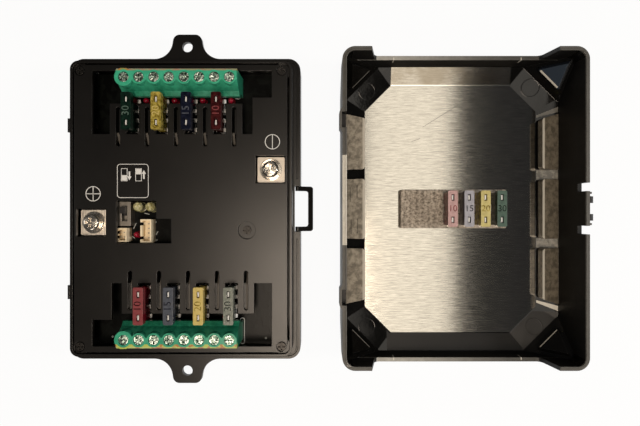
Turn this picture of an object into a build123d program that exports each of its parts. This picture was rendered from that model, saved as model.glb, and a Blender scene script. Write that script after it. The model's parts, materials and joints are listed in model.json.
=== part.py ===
"""Fuse box panel: a wall base with its fused circuit board, and the cover lying open beside it."""

from build123d import *

import os
from math import copysign, cos, radians, sin, sqrt, tan

os.makedirs("parts", exist_ok=True)

# Box, in millimetres: X across, Y along, Z up from the back of the base.
box_width = 125.0
box_length = 164.0
box_corner_radius = 6.5
floor_thickness = 2.0
flange_height = 12.0
skirt_thickness = 1.6
ring_setback = 4.0  # from the flange's edge to the raised ring
ring_thickness = 1.4
ring_corner_radius = 4.5
ring_height = 21.4
groove_setback = 1.4
groove_width = 0.9
groove_depth = 0.8
cutter_overrun = 5.0
running_play = 0.05
seat_play = 0.1

# Mounting ears
ear_hole_reach = 6.5  # beyond the box's end
ear_hole_radius = 2.8
ear_tip_reach = 6.8  # beyond the hole's centre
ear_tip_half_width = 7.4
ear_root_half_width = 9.4
ear_tip_radius = 3.6
ear_root_radius = 10.0
ear_deck_thickness = 2.6
ear_overlap = 1.8  # with the tray's end
ear_rib_offset = 6.0
ear_rib_thickness = 1.4
ear_rib_foot = 1.5
ear_rib_tip_gap = 3.0

# Bosses of the tray and the screws in them
corner_boss_inset = 4.1  # from the ring's inner face to the corner screws
centre_boss_x = 34.7
centre_boss_y = -11.4
centre_boss_radius = 3.4
plate_screw_radius = 1.2
plate_screw_length = 8.0
plate_screw_head_radius = 2.2
plate_screw_head_height = 1.2
plate_recess_radius = 2.7
plate_recess_depth = 1.3
centre_recess_radius = 4.6
board_boss_side_inset = 6.6  # from the ring's inner faces
board_boss_end_inset = 31.6
board_boss_radius = 3.0
board_screw_radius = 1.1
board_screw_length = 5.5
board_screw_head_radius = 2.4
board_screw_head_height = 1.5

# Circuit board and the plate over it
board_height = 10.0
board_thickness = 1.6
board_gap = 3.0  # to the ring's inner face
boss_gap = 0.5  # around the bosses that pass the board
plate_gap = 1.1  # between the plate and the ring
plate_height = 20.0
plate_thickness = 2.0
plate_corner_radius = 4.0

# Fuse rows. Both are laid out from one row, turned half a turn about symmetry_x.
symmetry_x = 0.7
fuse_count = 4
fuse_spacing = 15.24
fuse_row_offset = 3.1
tongue_width = 8.6
tongue_tip_inset = 21.4  # this and the insets below are from the ring's inner face
bay_inset = 37.4
bay_outer_reach = 9.3  # the wide bay beside the last tongue
bay_inner_reach = 5.3
terminal_bay_inner_inset = 18.2
terminal_bay_outer_inset = 4.2
terminal_bay_side_inset = 10.0
slot_width = 2.2
slot_inner_inset = 43.9
slot_outer_inset = 23.2
slot_ledge_width = 1.0
slot_ledge_thickness = 0.9

# Blade fuses
fuse_head_length = 19.1
fuse_head_width = 5.1
fuse_head_height = 3.4
fuse_head_radius = 0.8
fuse_body_length = 17.6
fuse_body_width = 3.4
fuse_housing_height = 12.2
fuse_waist_length = 5.0
fuse_waist_depth = 0.5
blade_spacing = 10.2
blade_width = 5.2
blade_thickness = 0.65
blade_reach = 6.3  # below the housing
blade_tip_chamfer = 0.9
blade_top_cover = 4.6  # housing left above the blades
test_slot_spacing = 11.8
test_slot_length = 3.4
test_slot_width = 1.5
test_tab_width = 2.4
test_tab_sink = 0.5
link_width = 1.1
link_rise = 1.7
fuse_tip_gap = 0.6  # from the board to the blades' tips
fuse_terminal_gap = 0.2

# Spring clips of the fuses
clip_thickness = 0.4
clip_length = 7.2
clip_base_height = 2.6
clip_finger_width = 2.0
clip_finger_spacing = 5.0
clip_curl_radius = 1.0
clip_curl_angles = (0, 50, 100, 150)
clip_top_gap = 0.3  # below the fuse's housing

# Terminal blocks, eight ways each
way_count = 8
way_spacing = 7.62
terminal_inset = 10.2  # from the ring's inner face to the screws
terminal_height = 20.2
terminal_outer_reach = 4.4
terminal_inner_reach = 7.8
terminal_foot_reach = 5.6
terminal_lip_height = 9.0
terminal_step_reach = 5.4
terminal_top_reach = 1.2
terminal_ledge_height = 11.8
terminal_step_height = 13.2
terminal_edge_chamfer = 1.1
collar_radius = 3.55
end_collar_radius = 4.6
collar_height = 7.2
well_radius = 2.65
well_depth = 5.0
wire_entry_size = 3.8
clamp_width = 5.6
clamp_depth = 5.8
clamp_height = 7.0
clamp_rise = 1.4  # cavity floor above the board
clamp_wall = 1.0
terminal_screw_radius = 1.5
terminal_screw_head_radius = 2.5
terminal_screw_head_height = 2.4
terminal_screw_sink = 0.3
terminal_cross_width = 0.7
terminal_cross_length = 3.6
terminal_cross_depth = 0.9

# Power posts
post_inset = 10.0  # from the ring's inner faces
positive_post_y = -7.4
negative_post_y = 20.7
post_plate_width = 14.6
post_plate_length = 13.6
post_plate_thickness = 1.2
post_plate_radius = 0.8
post_block_size = 10.0
post_block_height = 5.2
post_thread_radius = 2.5
post_opening_gap = 0.5
post_washer_radius = 5.8
post_washer_thickness = 1.0
post_screw_gap = 0.5  # above the board
post_head_radius = 4.35
post_head_height = 4.2
post_head_edge = 1.4
post_cross_width = 1.3
post_cross_length = 5.2
post_cross_depth = 2.2

# Electronics beside the positive post, each reach along X from its middle
window_left_reach = 13.3
window_right_reach = 34.3
window_wide_reach = 42.1
window_top = 4.2
window_step = -5.3
window_bottom = -18.2
switch_reach = 15.6
switch_y = -2.75
switch_width = 6.7
switch_length = 13.0
switch_height = 5.8
switch_wall = 0.7
switch_floor = 1.6
slider_width = 2.8
slider_length = 3.6
slider_travel = 4.0
slider_foot_length = 6.0
slider_foot_height = 1.4
slider_reach = 2.6  # above the switch
header_depth = 5.75
header_height = 7.0
header_wall = 0.8
header_floor = 2.2
header_end = 4.9  # beyond the outer pins, both ends together
header_slot_width = 1.6
pin_spacing = 2.5
pin_size = 0.64
pin_offset = 0.6
pin_reach = 4.6
two_pin_count = 2
two_pin_reach = 14.4
two_pin_y = -14.0
four_pin_count = 4
four_pin_reach = 27.45
four_pin_y = -11.85
status_led_radius = 2.5
status_led_height = 8.3
status_led_rim = 0.4
status_led_base = 1.0
status_led_left_reach = 22.9
status_led_right_reach = 29.5
status_led_y = 1.0
fuse_led_radius = 1.5
fuse_led_height = 5.2
fuse_led_rim = 0.3
fuse_led_base = 0.9
fuse_led_offset = 4.7  # from its fuse, along the row
fuse_led_inset = 18.3
fault_led_reach = 21.4
fault_led_y = -13.9

# Latch bail at the right of the base
bail_notch_half = 12.5
bail_notch_setback = 3.2
bail_lug_length = 4.0
bail_arm_width = 2.5
bail_arm_radius = 1.3
bail_side_play = 0.15
bail_pivot_setback = 1.6
bail_pivot_height = 9.4
bail_reach = 8.4
bail_bar_width = 2.7
bail_bar_thickness = 2.1
bail_pin_radius = 0.8
bail_pin_length = 2.2
bail_corner_radius = 1.4
bail_bar_play = 0.4

# Tongues at the left of the base, for the cover's pockets
tongue_inset = 37.0  # from the box's ends
side_tongue_length = 7.5
side_tongue_thickness = 1.6
side_tongue_height = 4.0
side_tongue_setback = -0.4
side_tongue_chamfer = 0.4

# Cover, lying on its outer face beside the base
cover_x = 147.0
cover_shoulder = 31.4
cover_wall = 2.2
rim_height = 0.6
rim_width = 0.7
plateau_half_width = 48.8
plateau_half_length = 70.3
plateau_chamfer = 15.0
side_slope_angle = 11.7
end_slope_angle = 13.0
corner_slope_angle = 10.3
corner_cut_angle = 54.25
corner_cut_step = 11.1  # outwards from the corner slopes
corner_pocket_rise = 14.5  # up the cut from the level of the cover's face
corner_pocket_side = 18.8
corner_pocket_depth = 3.2
corner_pocket_draft = 12.0
pocket_step = 0.1  # outwards from the flat floor
pocket_peak = 10.4
pocket_slope_angle = 25.0
pocket_middle_half = 16.6
pocket_rib = 5.4
pocket_inner_end_inset = 20.4  # from the floor's ends
pocket_wall_end_inset = 14.4
pocket_corner_radius = 1.8
opening_half_low = 44.5
opening_half_high = 48.6
opening_floor = 16.7
opening_low_radius = 3.0
catch_notch_line = 10.95
catch_notch_width = 4.3
catch_notch_depth = 7.4
hook_line = 4.5
hook_width = 3.4
hook_reach = 2.8
hook_lift = 0.4
hook_nose = 0.9
nib_line = 7.9
nib_width = 1.0
nib_reach = 0.9
side_pocket_length = 8.0
side_pocket_depth = 6.4
side_pocket_reach = 0.2  # past the wall's outer face
side_bulge_length = 13.0
side_bulge_reach = 1.4
side_bulge_taper = 2.4
side_bulge_depth = 8.4

# Liner sheet, spare fuse pad and spare fuses in the cover
liner_thickness = 0.6
liner_gap = 0.2
pad_length = 60.0
pad_width = 21.6
pad_thickness = 5.0
pad_radius = 0.6
spare_fuse_start = -3.8
spare_fuse_spacing = 8.65
spare_tip_gap = 0.2

# Worked out from the sizes above
half_width = box_width / 2
half_length = box_length / 2
ring_half_width = half_width - ring_setback
ring_half_length = half_length - ring_setback
well_half_width = ring_half_width - ring_thickness
well_half_length = ring_half_length - ring_thickness
corner_boss_radius = corner_boss_inset + ring_thickness / 4
board_top = board_height + board_thickness
plate_top = plate_height + plate_thickness
fuse_tip = board_top + fuse_tip_gap
housing_base = fuse_tip + blade_reach
clip_gap = blade_thickness + 2 * running_play
corner_screw_x = well_half_width - corner_boss_inset
corner_screw_y = well_half_length - corner_boss_inset
terminal_line = well_half_length - terminal_inset
fuse_line = terminal_line - terminal_inner_reach - fuse_terminal_gap - fuse_body_length / 2
tongue_tip = well_half_length - tongue_tip_inset
bay_end = well_half_length - bay_inset
slot_start = well_half_length - slot_inner_inset
slot_end = well_half_length - slot_outer_inset
terminal_bay_start = well_half_length - terminal_bay_inner_inset
terminal_bay_end = well_half_length - terminal_bay_outer_inset
terminal_bay_half = well_half_width - terminal_bay_side_inset
board_boss_x = well_half_width - board_boss_side_inset
board_boss_y = well_half_length - board_boss_end_inset
positive_post_x = post_inset - well_half_width
negative_post_x = well_half_width - post_inset
window_left = positive_post_x + window_left_reach
window_right = positive_post_x + window_right_reach
window_wide_right = positive_post_x + window_wide_reach
switch_x = positive_post_x + switch_reach
two_pin_x = positive_post_x + two_pin_reach
four_pin_x = positive_post_x + four_pin_reach
status_led_left_x = positive_post_x + status_led_left_reach
status_led_right_x = positive_post_x + status_led_right_reach
fault_led_x = positive_post_x + fault_led_reach
tongue_line = half_length - tongue_inset
pocket_inner_reach = plateau_half_width + pocket_step
pocket_inner_end = plateau_half_length - pocket_inner_end_inset
pocket_wall_end = plateau_half_length - pocket_wall_end_inset
pivot_x = half_width - bail_pivot_setback
bail_half = bail_notch_half - bail_side_play
terminal_half = way_count * way_spacing / 2
rows = {"top": 1, "bottom": -1}
both_sides = (1, -1)


def write(piece, name):
    """Labels a finished piece and writes its file."""
    piece.part.label = name
    export_step(piece.part, f"parts/{name}.step")


def row_point(side, along, out):
    """A point of a fuse row, the top one turned half a turn from the bottom one."""
    return (symmetry_x - side * along, side * out)


def fuse_place(index):
    """How far along its row a fuse stands."""
    return fuse_row_offset + fuse_spacing * (index - (fuse_count - 1) / 2)


def cross_recess(width, length):
    """The plan of a cross recess, inside a sketch at the recess's place."""
    Rectangle(width, length)
    Rectangle(length, width)


# Base tray: floor, skirt, ledge, raised ring, bosses and two ears
ear_centre = half_length + ear_hole_reach
corner_screws = [
    (x, y) for x in (-corner_screw_x, corner_screw_x) for y in (-corner_screw_y, corner_screw_y)
]
plate_screws_at = [*corner_screws, (centre_boss_x, centre_boss_y)]
board_screws_at = [(x, y) for x in (-board_boss_x, board_boss_x) for y in (-board_boss_y, board_boss_y)]
ear_tip = ear_centre + ear_tip_reach

with BuildSketch() as tray_plan:
    RectangleRounded(box_width, box_length, box_corner_radius)
    for side in both_sides:
        Polygon(
            (symmetry_x - ear_root_half_width, side * (half_length - ear_overlap)),
            (symmetry_x - ear_root_half_width, side * half_length),
            (symmetry_x - ear_tip_half_width, side * ear_tip),
            (symmetry_x + ear_tip_half_width, side * ear_tip),
            (symmetry_x + ear_root_half_width, side * half_length),
            (symmetry_x + ear_root_half_width, side * (half_length - ear_overlap)),
        )
    corners = tray_plan.vertices()
    fillet(corners.filter_by(lambda v: abs(v.Y) > half_length + ear_overlap), ear_tip_radius)
    roots = tray_plan.vertices().filter_by(
        lambda v: abs(abs(v.Y) - half_length) < ear_overlap / 2
        and abs(v.X - symmetry_x) < ear_root_half_width + ear_overlap
    )
    fillet(roots, ear_root_radius)

with BuildPart() as base_tray:
    add(tray_plan.sketch)
    extrude(amount=flange_height)
    with BuildSketch():
        RectangleRounded(2 * ring_half_width, 2 * ring_half_length, ring_corner_radius)
    extrude(amount=ring_height)
    # The hollow under the flange, between the ring and the skirt, and the room under the ears
    under_deck = flange_height - ear_deck_thickness
    with BuildSketch():
        RectangleRounded(
            box_width - 2 * skirt_thickness,
            box_length - 2 * skirt_thickness,
            box_corner_radius - skirt_thickness,
        )
        RectangleRounded(2 * ring_half_width, 2 * ring_half_length, ring_corner_radius, mode=Mode.SUBTRACT)
    extrude(amount=under_deck, mode=Mode.SUBTRACT)
    with BuildSketch():
        add(tray_plan.sketch)
        RectangleRounded(box_width, box_length, box_corner_radius, mode=Mode.SUBTRACT)
    extrude(amount=under_deck, mode=Mode.SUBTRACT)
    with BuildSketch(Plane.XY.offset(floor_thickness)):
        RectangleRounded(2 * well_half_width, 2 * well_half_length, ring_corner_radius - ring_thickness)
    extrude(amount=ring_height, mode=Mode.SUBTRACT)
    # Seat groove for the cover's rim
    with BuildSketch(Plane.XY.offset(flange_height - groove_depth)):
        RectangleRounded(
            box_width - 2 * groove_setback,
            box_length - 2 * groove_setback,
            box_corner_radius - groove_setback,
        )
        RectangleRounded(
            box_width - 2 * (groove_setback + groove_width),
            box_length - 2 * (groove_setback + groove_width),
            box_corner_radius - groove_setback - groove_width,
            mode=Mode.SUBTRACT,
        )
    extrude(amount=groove_depth, mode=Mode.SUBTRACT)
    # Two ribs under each ear, and its hole
    for side in both_sides:
        for rib_side in both_sides:
            with BuildSketch(Plane.YZ.offset(symmetry_x + rib_side * ear_rib_offset)):
                Polygon(
                    (side * (half_length - skirt_thickness / 2), 0),
                    (side * (half_length + ear_rib_foot), 0),
                    (side * (ear_tip - ear_rib_tip_gap), under_deck),
                    (side * (half_length - skirt_thickness / 2), under_deck),
                )
            extrude(amount=ear_rib_thickness / 2, both=True)
    with BuildSketch():
        with Locations(*[(symmetry_x, side * ear_centre) for side in both_sides]):
            Circle(ear_hole_radius)
    extrude(amount=flange_height, mode=Mode.SUBTRACT)
    # Bosses for the plate's screws and for the board's screws
    with BuildSketch():
        with Locations(*corner_screws):
            Circle(corner_boss_radius)
        with Locations((centre_boss_x, centre_boss_y)):
            Circle(centre_boss_radius)
    extrude(amount=plate_height)
    with BuildSketch():
        with Locations(*board_screws_at):
            Circle(board_boss_radius)
    extrude(amount=board_height)
    with BuildSketch(Plane.XY.offset(plate_height)):
        with Locations(*plate_screws_at):
            Circle(plate_screw_radius + running_play)
    extrude(amount=-plate_screw_length, mode=Mode.SUBTRACT)
    with BuildSketch(Plane.XY.offset(board_height)):
        with Locations(*board_screws_at):
            Circle(board_screw_radius + running_play)
    extrude(amount=-board_screw_length, mode=Mode.SUBTRACT)
    # Notch and pivot lugs of the latch bail
    with BuildSketch():
        for side in both_sides:
            with Locations((half_width, side * bail_notch_half)):
                Rectangle(
                    ring_setback, bail_lug_length, align=(Align.MAX, Align.MIN if side > 0 else Align.MAX)
                )
    extrude(amount=flange_height)
    with BuildSketch():
        with Locations((half_width - bail_notch_setback, 0)):
            Rectangle(
                bail_notch_setback + cutter_overrun, 2 * bail_notch_half, align=(Align.MIN, Align.CENTER)
            )
    extrude(amount=flange_height, mode=Mode.SUBTRACT)
    with BuildSketch(Plane.XZ):
        with Locations((pivot_x, bail_pivot_height)):
            Circle(bail_pin_radius + running_play)
    extrude(amount=bail_half + bail_pin_length + seat_play, both=True, mode=Mode.SUBTRACT)
    # Tongues for the cover's side pockets
    with BuildSketch(Plane.XY.offset(flange_height - groove_depth)):
        with Locations(*[(-half_width + side_tongue_setback, side * tongue_line) for side in both_sides]):
            Rectangle(side_tongue_thickness, side_tongue_length, align=(Align.MIN, Align.CENTER))
    extrude(amount=groove_depth + side_tongue_height)
    tongue_tops = base_tray.faces().filter_by(Axis.Z).filter_by(
        lambda f: abs(f.center().Z - flange_height - side_tongue_height) < side_tongue_chamfer
    )
    chamfer(tongue_tops.edges(), side_tongue_chamfer)
write(base_tray, "base_tray")

# Latch bail: two arms with pivot pins, and the bar between them
bar_top = bail_pivot_height - bail_pivot_setback - bail_bar_play
bar_end = pivot_x + bail_reach

with BuildPart() as latch_bail:
    with BuildSketch(Plane.XZ.offset(-bail_half)):
        with Locations((pivot_x, bail_pivot_height)):
            Circle(bail_arm_radius)
        with Locations((bar_end, bar_top)):
            Rectangle(bail_bar_width, bail_bar_thickness, align=(Align.MAX, Align.MAX))
        make_hull()
    extrude(amount=2 * bail_half)
    with BuildSketch():
        with Locations((pivot_x - bail_arm_radius - cutter_overrun, 0)):
            RectangleRounded(
                bail_reach + bail_arm_radius - bail_bar_width + cutter_overrun,
                2 * (bail_half - bail_arm_width),
                bail_corner_radius,
                align=(Align.MIN, Align.CENTER),
            )
    extrude(amount=flange_height, mode=Mode.SUBTRACT)
    bar_corners = latch_bail.edges().filter_by(Axis.Z).sort_by(Axis.X)[-2:]
    fillet(bar_corners, bail_corner_radius)
    for side in both_sides:
        with BuildSketch(Plane.XZ.offset(-side * (bail_half - bail_arm_width / 2))):
            with Locations((pivot_x, bail_pivot_height)):
                Circle(bail_pin_radius)
        extrude(amount=-side * (bail_pin_length + bail_arm_width / 2))
write(latch_bail, "latch_bail")

# Circuit board, notched round the tray's bosses
with BuildPart() as circuit_board:
    with BuildSketch(Plane.XY.offset(board_height)):
        Rectangle(2 * (well_half_width - board_gap), 2 * (well_half_length - board_gap))
        with Locations(*corner_screws):
            Circle(corner_boss_radius + boss_gap, mode=Mode.SUBTRACT)
        with Locations((centre_boss_x, centre_boss_y)):
            Circle(centre_boss_radius + boss_gap, mode=Mode.SUBTRACT)
        with Locations(*board_screws_at):
            Circle(board_screw_radius + seat_play, mode=Mode.SUBTRACT)
    extrude(amount=board_thickness)
write(circuit_board, "circuit_board")

with BuildPart() as board_screws:
    with Locations(*[(x, y, board_top) for x, y in board_screws_at]):
        Cylinder(
            board_screw_head_radius, board_screw_head_height, align=(Align.CENTER, Align.CENTER, Align.MIN)
        )
        Cylinder(
            board_screw_radius, board_screw_length, align=(Align.CENTER, Align.CENTER, Align.MAX)
        )
write(board_screws, "board_screws")

# Inner plate with its bays, tongues, slots, window and screw recesses
plate_half_width = well_half_width - plate_gap
plate_half_length = well_half_length - plate_gap
tongue_places = [fuse_place(index) - fuse_spacing / 2 for index in range(fuse_count + 1)]
bay_edges = [tongue_places[0] - tongue_width / 2 - bay_inner_reach]
for place in tongue_places:
    bay_edges += [place - tongue_width / 2, place + tongue_width / 2]
bay_edges.append(tongue_places[-1] + tongue_width / 2 + bay_outer_reach)


def row_rectangle(side, along_from, along_to, out_from, out_to, mode=Mode.SUBTRACT):
    """Cuts or adds a rectangle given in the fuse row's own directions."""
    with Locations(row_point(side, (along_from + along_to) / 2, (out_from + out_to) / 2)):
        Rectangle(along_to - along_from, out_to - out_from, mode=mode)


with BuildPart() as inner_plate:
    with BuildSketch(Plane.XY.offset(plate_height)):
        RectangleRounded(2 * plate_half_width, 2 * plate_half_length, plate_corner_radius)
        for side in rows.values():
            row_rectangle(side, -terminal_bay_half, terminal_bay_half, terminal_bay_start, terminal_bay_end)
            row_rectangle(side, bay_edges[0], bay_edges[-1], tongue_tip, terminal_bay_start)
            for start, end in zip(bay_edges[0::2], bay_edges[1::2]):
                row_rectangle(side, start, end, bay_end, tongue_tip)
            for place in tongue_places:
                with Locations(row_point(side, place, (slot_start + slot_end) / 2)):
                    SlotOverall(slot_end - slot_start, slot_width, rotation=90, mode=Mode.SUBTRACT)
        for x, y in ((positive_post_x, positive_post_y), (negative_post_x, negative_post_y)):
            with Locations((x, y)):
                Rectangle(
                    post_plate_width + 2 * post_opening_gap,
                    post_plate_length + 2 * post_opening_gap,
                    mode=Mode.SUBTRACT,
                )
        Polygon(
            (window_left, window_top),
            (window_left, window_bottom),
            (window_wide_right, window_bottom),
            (window_wide_right, window_step),
            (window_right, window_step),
            (window_right, window_top),
            mode=Mode.SUBTRACT,
        )
    extrude(amount=plate_thickness)
    with BuildSketch(Plane.XY.offset(plate_height)):
        for side in rows.values():
            for place in tongue_places:
                row_rectangle(
                    side,
                    place - slot_width / 2,
                    place - slot_width / 2 + slot_ledge_width,
                    bay_end,
                    slot_end - slot_width / 2,
                    mode=Mode.ADD,
                )
    extrude(amount=slot_ledge_thickness)
    with Locations(*[(x, y, plate_top) for x, y in corner_screws]):
        CounterBoreHole(
            plate_screw_radius + seat_play, plate_recess_radius, plate_recess_depth, plate_thickness
        )
    with Locations((centre_boss_x, centre_boss_y, plate_top)):
        CounterBoreHole(
            plate_screw_radius + seat_play, centre_recess_radius, plate_recess_depth, plate_thickness
        )
write(inner_plate, "inner_plate")

with BuildPart() as plate_screws:
    with Locations(*[(x, y, plate_top - plate_recess_depth) for x, y in plate_screws_at]):
        Cylinder(
            plate_screw_head_radius, plate_screw_head_height, align=(Align.CENTER, Align.CENTER, Align.MIN)
        )
        Cylinder(plate_screw_radius, plate_screw_length, align=(Align.CENTER, Align.CENTER, Align.MAX))
    with BuildSketch(Plane.XY.offset(plate_top - plate_recess_depth + plate_screw_head_height)):
        with Locations(*plate_screws_at):
            cross_recess(terminal_cross_width, terminal_cross_length)
    extrude(amount=-terminal_cross_depth, mode=Mode.SUBTRACT)
write(plate_screws, "plate_screws")

# Spring clips: a channel for each blade, with four curled fingers
clip_top = housing_base - clip_top_gap
leaf_x = clip_gap / 2 + clip_thickness / 2
curl_height = clip_top - clip_curl_radius - clip_thickness / 2

with BuildPart() as clip_pair:
    for side in both_sides:
        blade_y = side * blade_spacing / 2
        with BuildSketch(Plane.XZ.offset(-blade_y)):
            with Locations((0, board_top)):
                Rectangle(clip_gap + 2 * clip_thickness, clip_base_height, align=(Align.CENTER, Align.MIN))
            with Locations((0, board_top + clip_thickness)):
                Rectangle(clip_gap, clip_base_height, align=(Align.CENTER, Align.MIN), mode=Mode.SUBTRACT)
        extrude(amount=clip_length / 2, both=True)
        for finger_side in both_sides:
            finger_y = blade_y + finger_side * clip_finger_spacing / 2
            for leaf_side in both_sides:
                middle_x = leaf_side * (leaf_x + clip_curl_radius)
                line = [(leaf_side * leaf_x, board_top + clip_base_height)]
                for turn in clip_curl_angles:
                    bend = radians(180 - turn if leaf_side > 0 else turn)
                    line.append(
                        (middle_x + clip_curl_radius * cos(bend), curl_height + clip_curl_radius * sin(bend))
                    )
                with BuildSketch(Plane.XZ.offset(-finger_y)):
                    with BuildLine():
                        Polyline(*line)
                    trace(line_width=clip_thickness)
                extrude(amount=clip_finger_width / 2, both=True)

for row, side in rows.items():
    with BuildPart() as fuse_clips:
        with Locations(*[row_point(side, fuse_place(index), fuse_line) for index in range(fuse_count)]):
            add(clip_pair.part)
    write(fuse_clips, f"fuse_clips_{row}")


# Blade fuses: the two blades with their link, and the housing over them
link_height = blade_reach + (fuse_housing_height - fuse_head_height) / 2
element_top = blade_reach + fuse_housing_height - blade_top_cover
fuse_height = blade_reach + fuse_housing_height

with BuildPart() as fuse_element:
    with BuildSketch(Plane.YZ) as element_plan:
        for side in both_sides:
            with Locations((side * blade_spacing / 2, 0)):
                Rectangle(blade_width, element_top, align=(Align.CENTER, Align.MIN))
            with Locations((side * test_slot_spacing / 2, element_top)):
                Rectangle(test_tab_width, blade_top_cover - test_tab_sink, align=(Align.CENTER, Align.MIN))
        chamfer(element_plan.vertices().group_by(Axis.Y)[0], blade_tip_chamfer)
        with BuildLine():
            link_end = (blade_spacing - blade_width + link_width) / 2
            ThreePointArc((-link_end, link_height), (0, link_height + link_rise), (link_end, link_height))
        trace(line_width=link_width)
    extrude(amount=blade_thickness / 2, both=True)

with BuildPart() as fuse_housing:
    with BuildSketch(Plane.XY.offset(fuse_height)):
        RectangleRounded(fuse_head_width, fuse_head_length, fuse_head_radius)
    extrude(amount=-fuse_head_height)
    with BuildSketch(Plane.XY.offset(blade_reach)):
        Rectangle(fuse_body_width, fuse_body_length)
        for side in both_sides:
            with Locations((side * fuse_body_width / 2, 0)):
                Rectangle(2 * fuse_waist_depth, fuse_waist_length, mode=Mode.SUBTRACT)
    extrude(amount=fuse_housing_height - fuse_head_height)
    # Hollow for the blades and their link, and the test slots over them
    with BuildSketch(Plane.XY.offset(blade_reach)):
        Rectangle(blade_thickness + 2 * seat_play, blade_spacing + blade_width + 2 * seat_play)
    extrude(amount=element_top - blade_reach + seat_play, mode=Mode.SUBTRACT)
    with BuildSketch(Plane.XY.offset(element_top)):
        for side in both_sides:
            with Locations((0, side * test_slot_spacing / 2)):
                Rectangle(test_slot_width, test_slot_length)
    extrude(amount=blade_top_cover, mode=Mode.SUBTRACT)


def write_fuse(name, x, y, z):
    """Writes the two pieces of one fuse, its blade tips at the given place."""
    with BuildPart() as housing:
        with Locations((x, y, z)):
            add(fuse_housing.part)
    write(housing, f"{name}_housing")
    with BuildPart() as element:
        with Locations((x, y, z)):
            add(fuse_element.part)
    write(element, f"{name}_element")


for row, side in rows.items():
    for index in range(fuse_count):
        write_fuse(f"fuse_{row}_{index + 1}", *row_point(side, fuse_place(index), fuse_line), fuse_tip)


# Terminal blocks: a stepped moulding with collared wells, wire cages and their screws
terminal_top = board_top + terminal_height
clamp_base = board_top + clamp_rise
clamp_top = clamp_base + clamp_height
screw_seat = terminal_top - terminal_screw_sink - terminal_screw_head_height
ways = [symmetry_x + way_spacing * (index - (way_count - 1) / 2) for index in range(way_count)]

for row, side in rows.items():
    across = Plane(
        origin=(symmetry_x, side * terminal_line, board_top), x_dir=(0, side, 0), z_dir=(side, 0, 0)
    )
    screws_at = [(x, side * terminal_line) for x in ways]
    with BuildPart() as terminal_block:
        with BuildSketch(across):
            Polygon(
                (-terminal_foot_reach, 0),
                (terminal_outer_reach, 0),
                (terminal_outer_reach, terminal_height - terminal_edge_chamfer),
                (terminal_outer_reach - terminal_edge_chamfer, terminal_height),
                (-terminal_top_reach, terminal_height),
                (-terminal_step_reach, terminal_step_height),
                (-terminal_inner_reach, terminal_ledge_height),
                (-terminal_inner_reach, terminal_lip_height),
                (-terminal_foot_reach, terminal_lip_height),
            )
        extrude(amount=terminal_half, both=True)
        with BuildSketch(Plane.XY.offset(terminal_top)):
            with Locations(*screws_at):
                Circle(collar_radius)
            with Locations(screws_at[0]):
                Circle(end_collar_radius)
            with Locations((symmetry_x, side * (terminal_line + terminal_outer_reach))):
                Rectangle(
                    2 * terminal_half + way_spacing,
                    end_collar_radius,
                    align=(Align.CENTER, Align.MIN if side > 0 else Align.MAX),
                    mode=Mode.SUBTRACT,
                )
        extrude(amount=-collar_height)
        with BuildSketch(Plane.XY.offset(terminal_top)):
            with Locations(*screws_at):
                Circle(well_radius)
        extrude(amount=-well_depth, mode=Mode.SUBTRACT)
        with BuildSketch(Plane.XY.offset(terminal_top)):
            with Locations(*screws_at):
                Circle(terminal_screw_radius + seat_play)
        extrude(amount=clamp_top - terminal_top, mode=Mode.SUBTRACT)
        with Locations(*[(x, y, clamp_base) for x, y in screws_at]):
            Box(
                clamp_width + 2 * seat_play,
                clamp_depth + 2 * seat_play,
                clamp_height + seat_play,
                align=(Align.CENTER, Align.CENTER, Align.MIN),
                mode=Mode.SUBTRACT,
            )
        with Locations(*[(x, y, clamp_base + clamp_wall) for x, y in screws_at]):
            Box(
                wire_entry_size,
                2 * terminal_outer_reach,
                wire_entry_size,
                align=(Align.CENTER, Align.MIN if side > 0 else Align.MAX, Align.MIN),
                mode=Mode.SUBTRACT,
            )
    write(terminal_block, f"terminal_block_{row}")

    with BuildPart() as terminal_clamps:
        with Locations(*[(x, y, clamp_base) for x, y in screws_at]):
            Box(clamp_width, clamp_depth, clamp_height, align=(Align.CENTER, Align.CENTER, Align.MIN))
        with Locations(*[(x, y, clamp_base + clamp_wall) for x, y in screws_at]):
            Box(
                wire_entry_size,
                clamp_depth,
                wire_entry_size,
                align=(Align.CENTER, Align.CENTER, Align.MIN),
                mode=Mode.SUBTRACT,
            )
        with BuildSketch(Plane.XY.offset(clamp_top)):
            with Locations(*screws_at):
                Circle(terminal_screw_radius + running_play)
        extrude(amount=clamp_base + clamp_wall + wire_entry_size - clamp_top, mode=Mode.SUBTRACT)
    write(terminal_clamps, f"terminal_clamps_{row}")

    with BuildPart() as terminal_screws:
        with BuildSketch(Plane.XY.offset(screw_seat)):
            with Locations(*screws_at):
                Circle(terminal_screw_head_radius)
        extrude(amount=terminal_screw_head_height)
        with BuildSketch(Plane.XY.offset(screw_seat)):
            with Locations(*screws_at):
                Circle(terminal_screw_radius)
        extrude(amount=clamp_base + clamp_wall + wire_entry_size - screw_seat)
        with BuildSketch(Plane.XY.offset(screw_seat + terminal_screw_head_height)):
            with Locations(*screws_at):
                cross_recess(terminal_cross_width, terminal_cross_length)
        extrude(amount=-terminal_cross_depth, mode=Mode.SUBTRACT)
    write(terminal_screws, f"terminal_screws_{row}")

# Power posts: plates on tapped blocks, with their washers and screws
post_places = {
    "positive": (positive_post_x, positive_post_y),
    "negative": (negative_post_x, negative_post_y),
}
post_plate_top = board_top + post_block_height + post_plate_thickness
post_head_base = post_plate_top + post_washer_thickness

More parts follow.
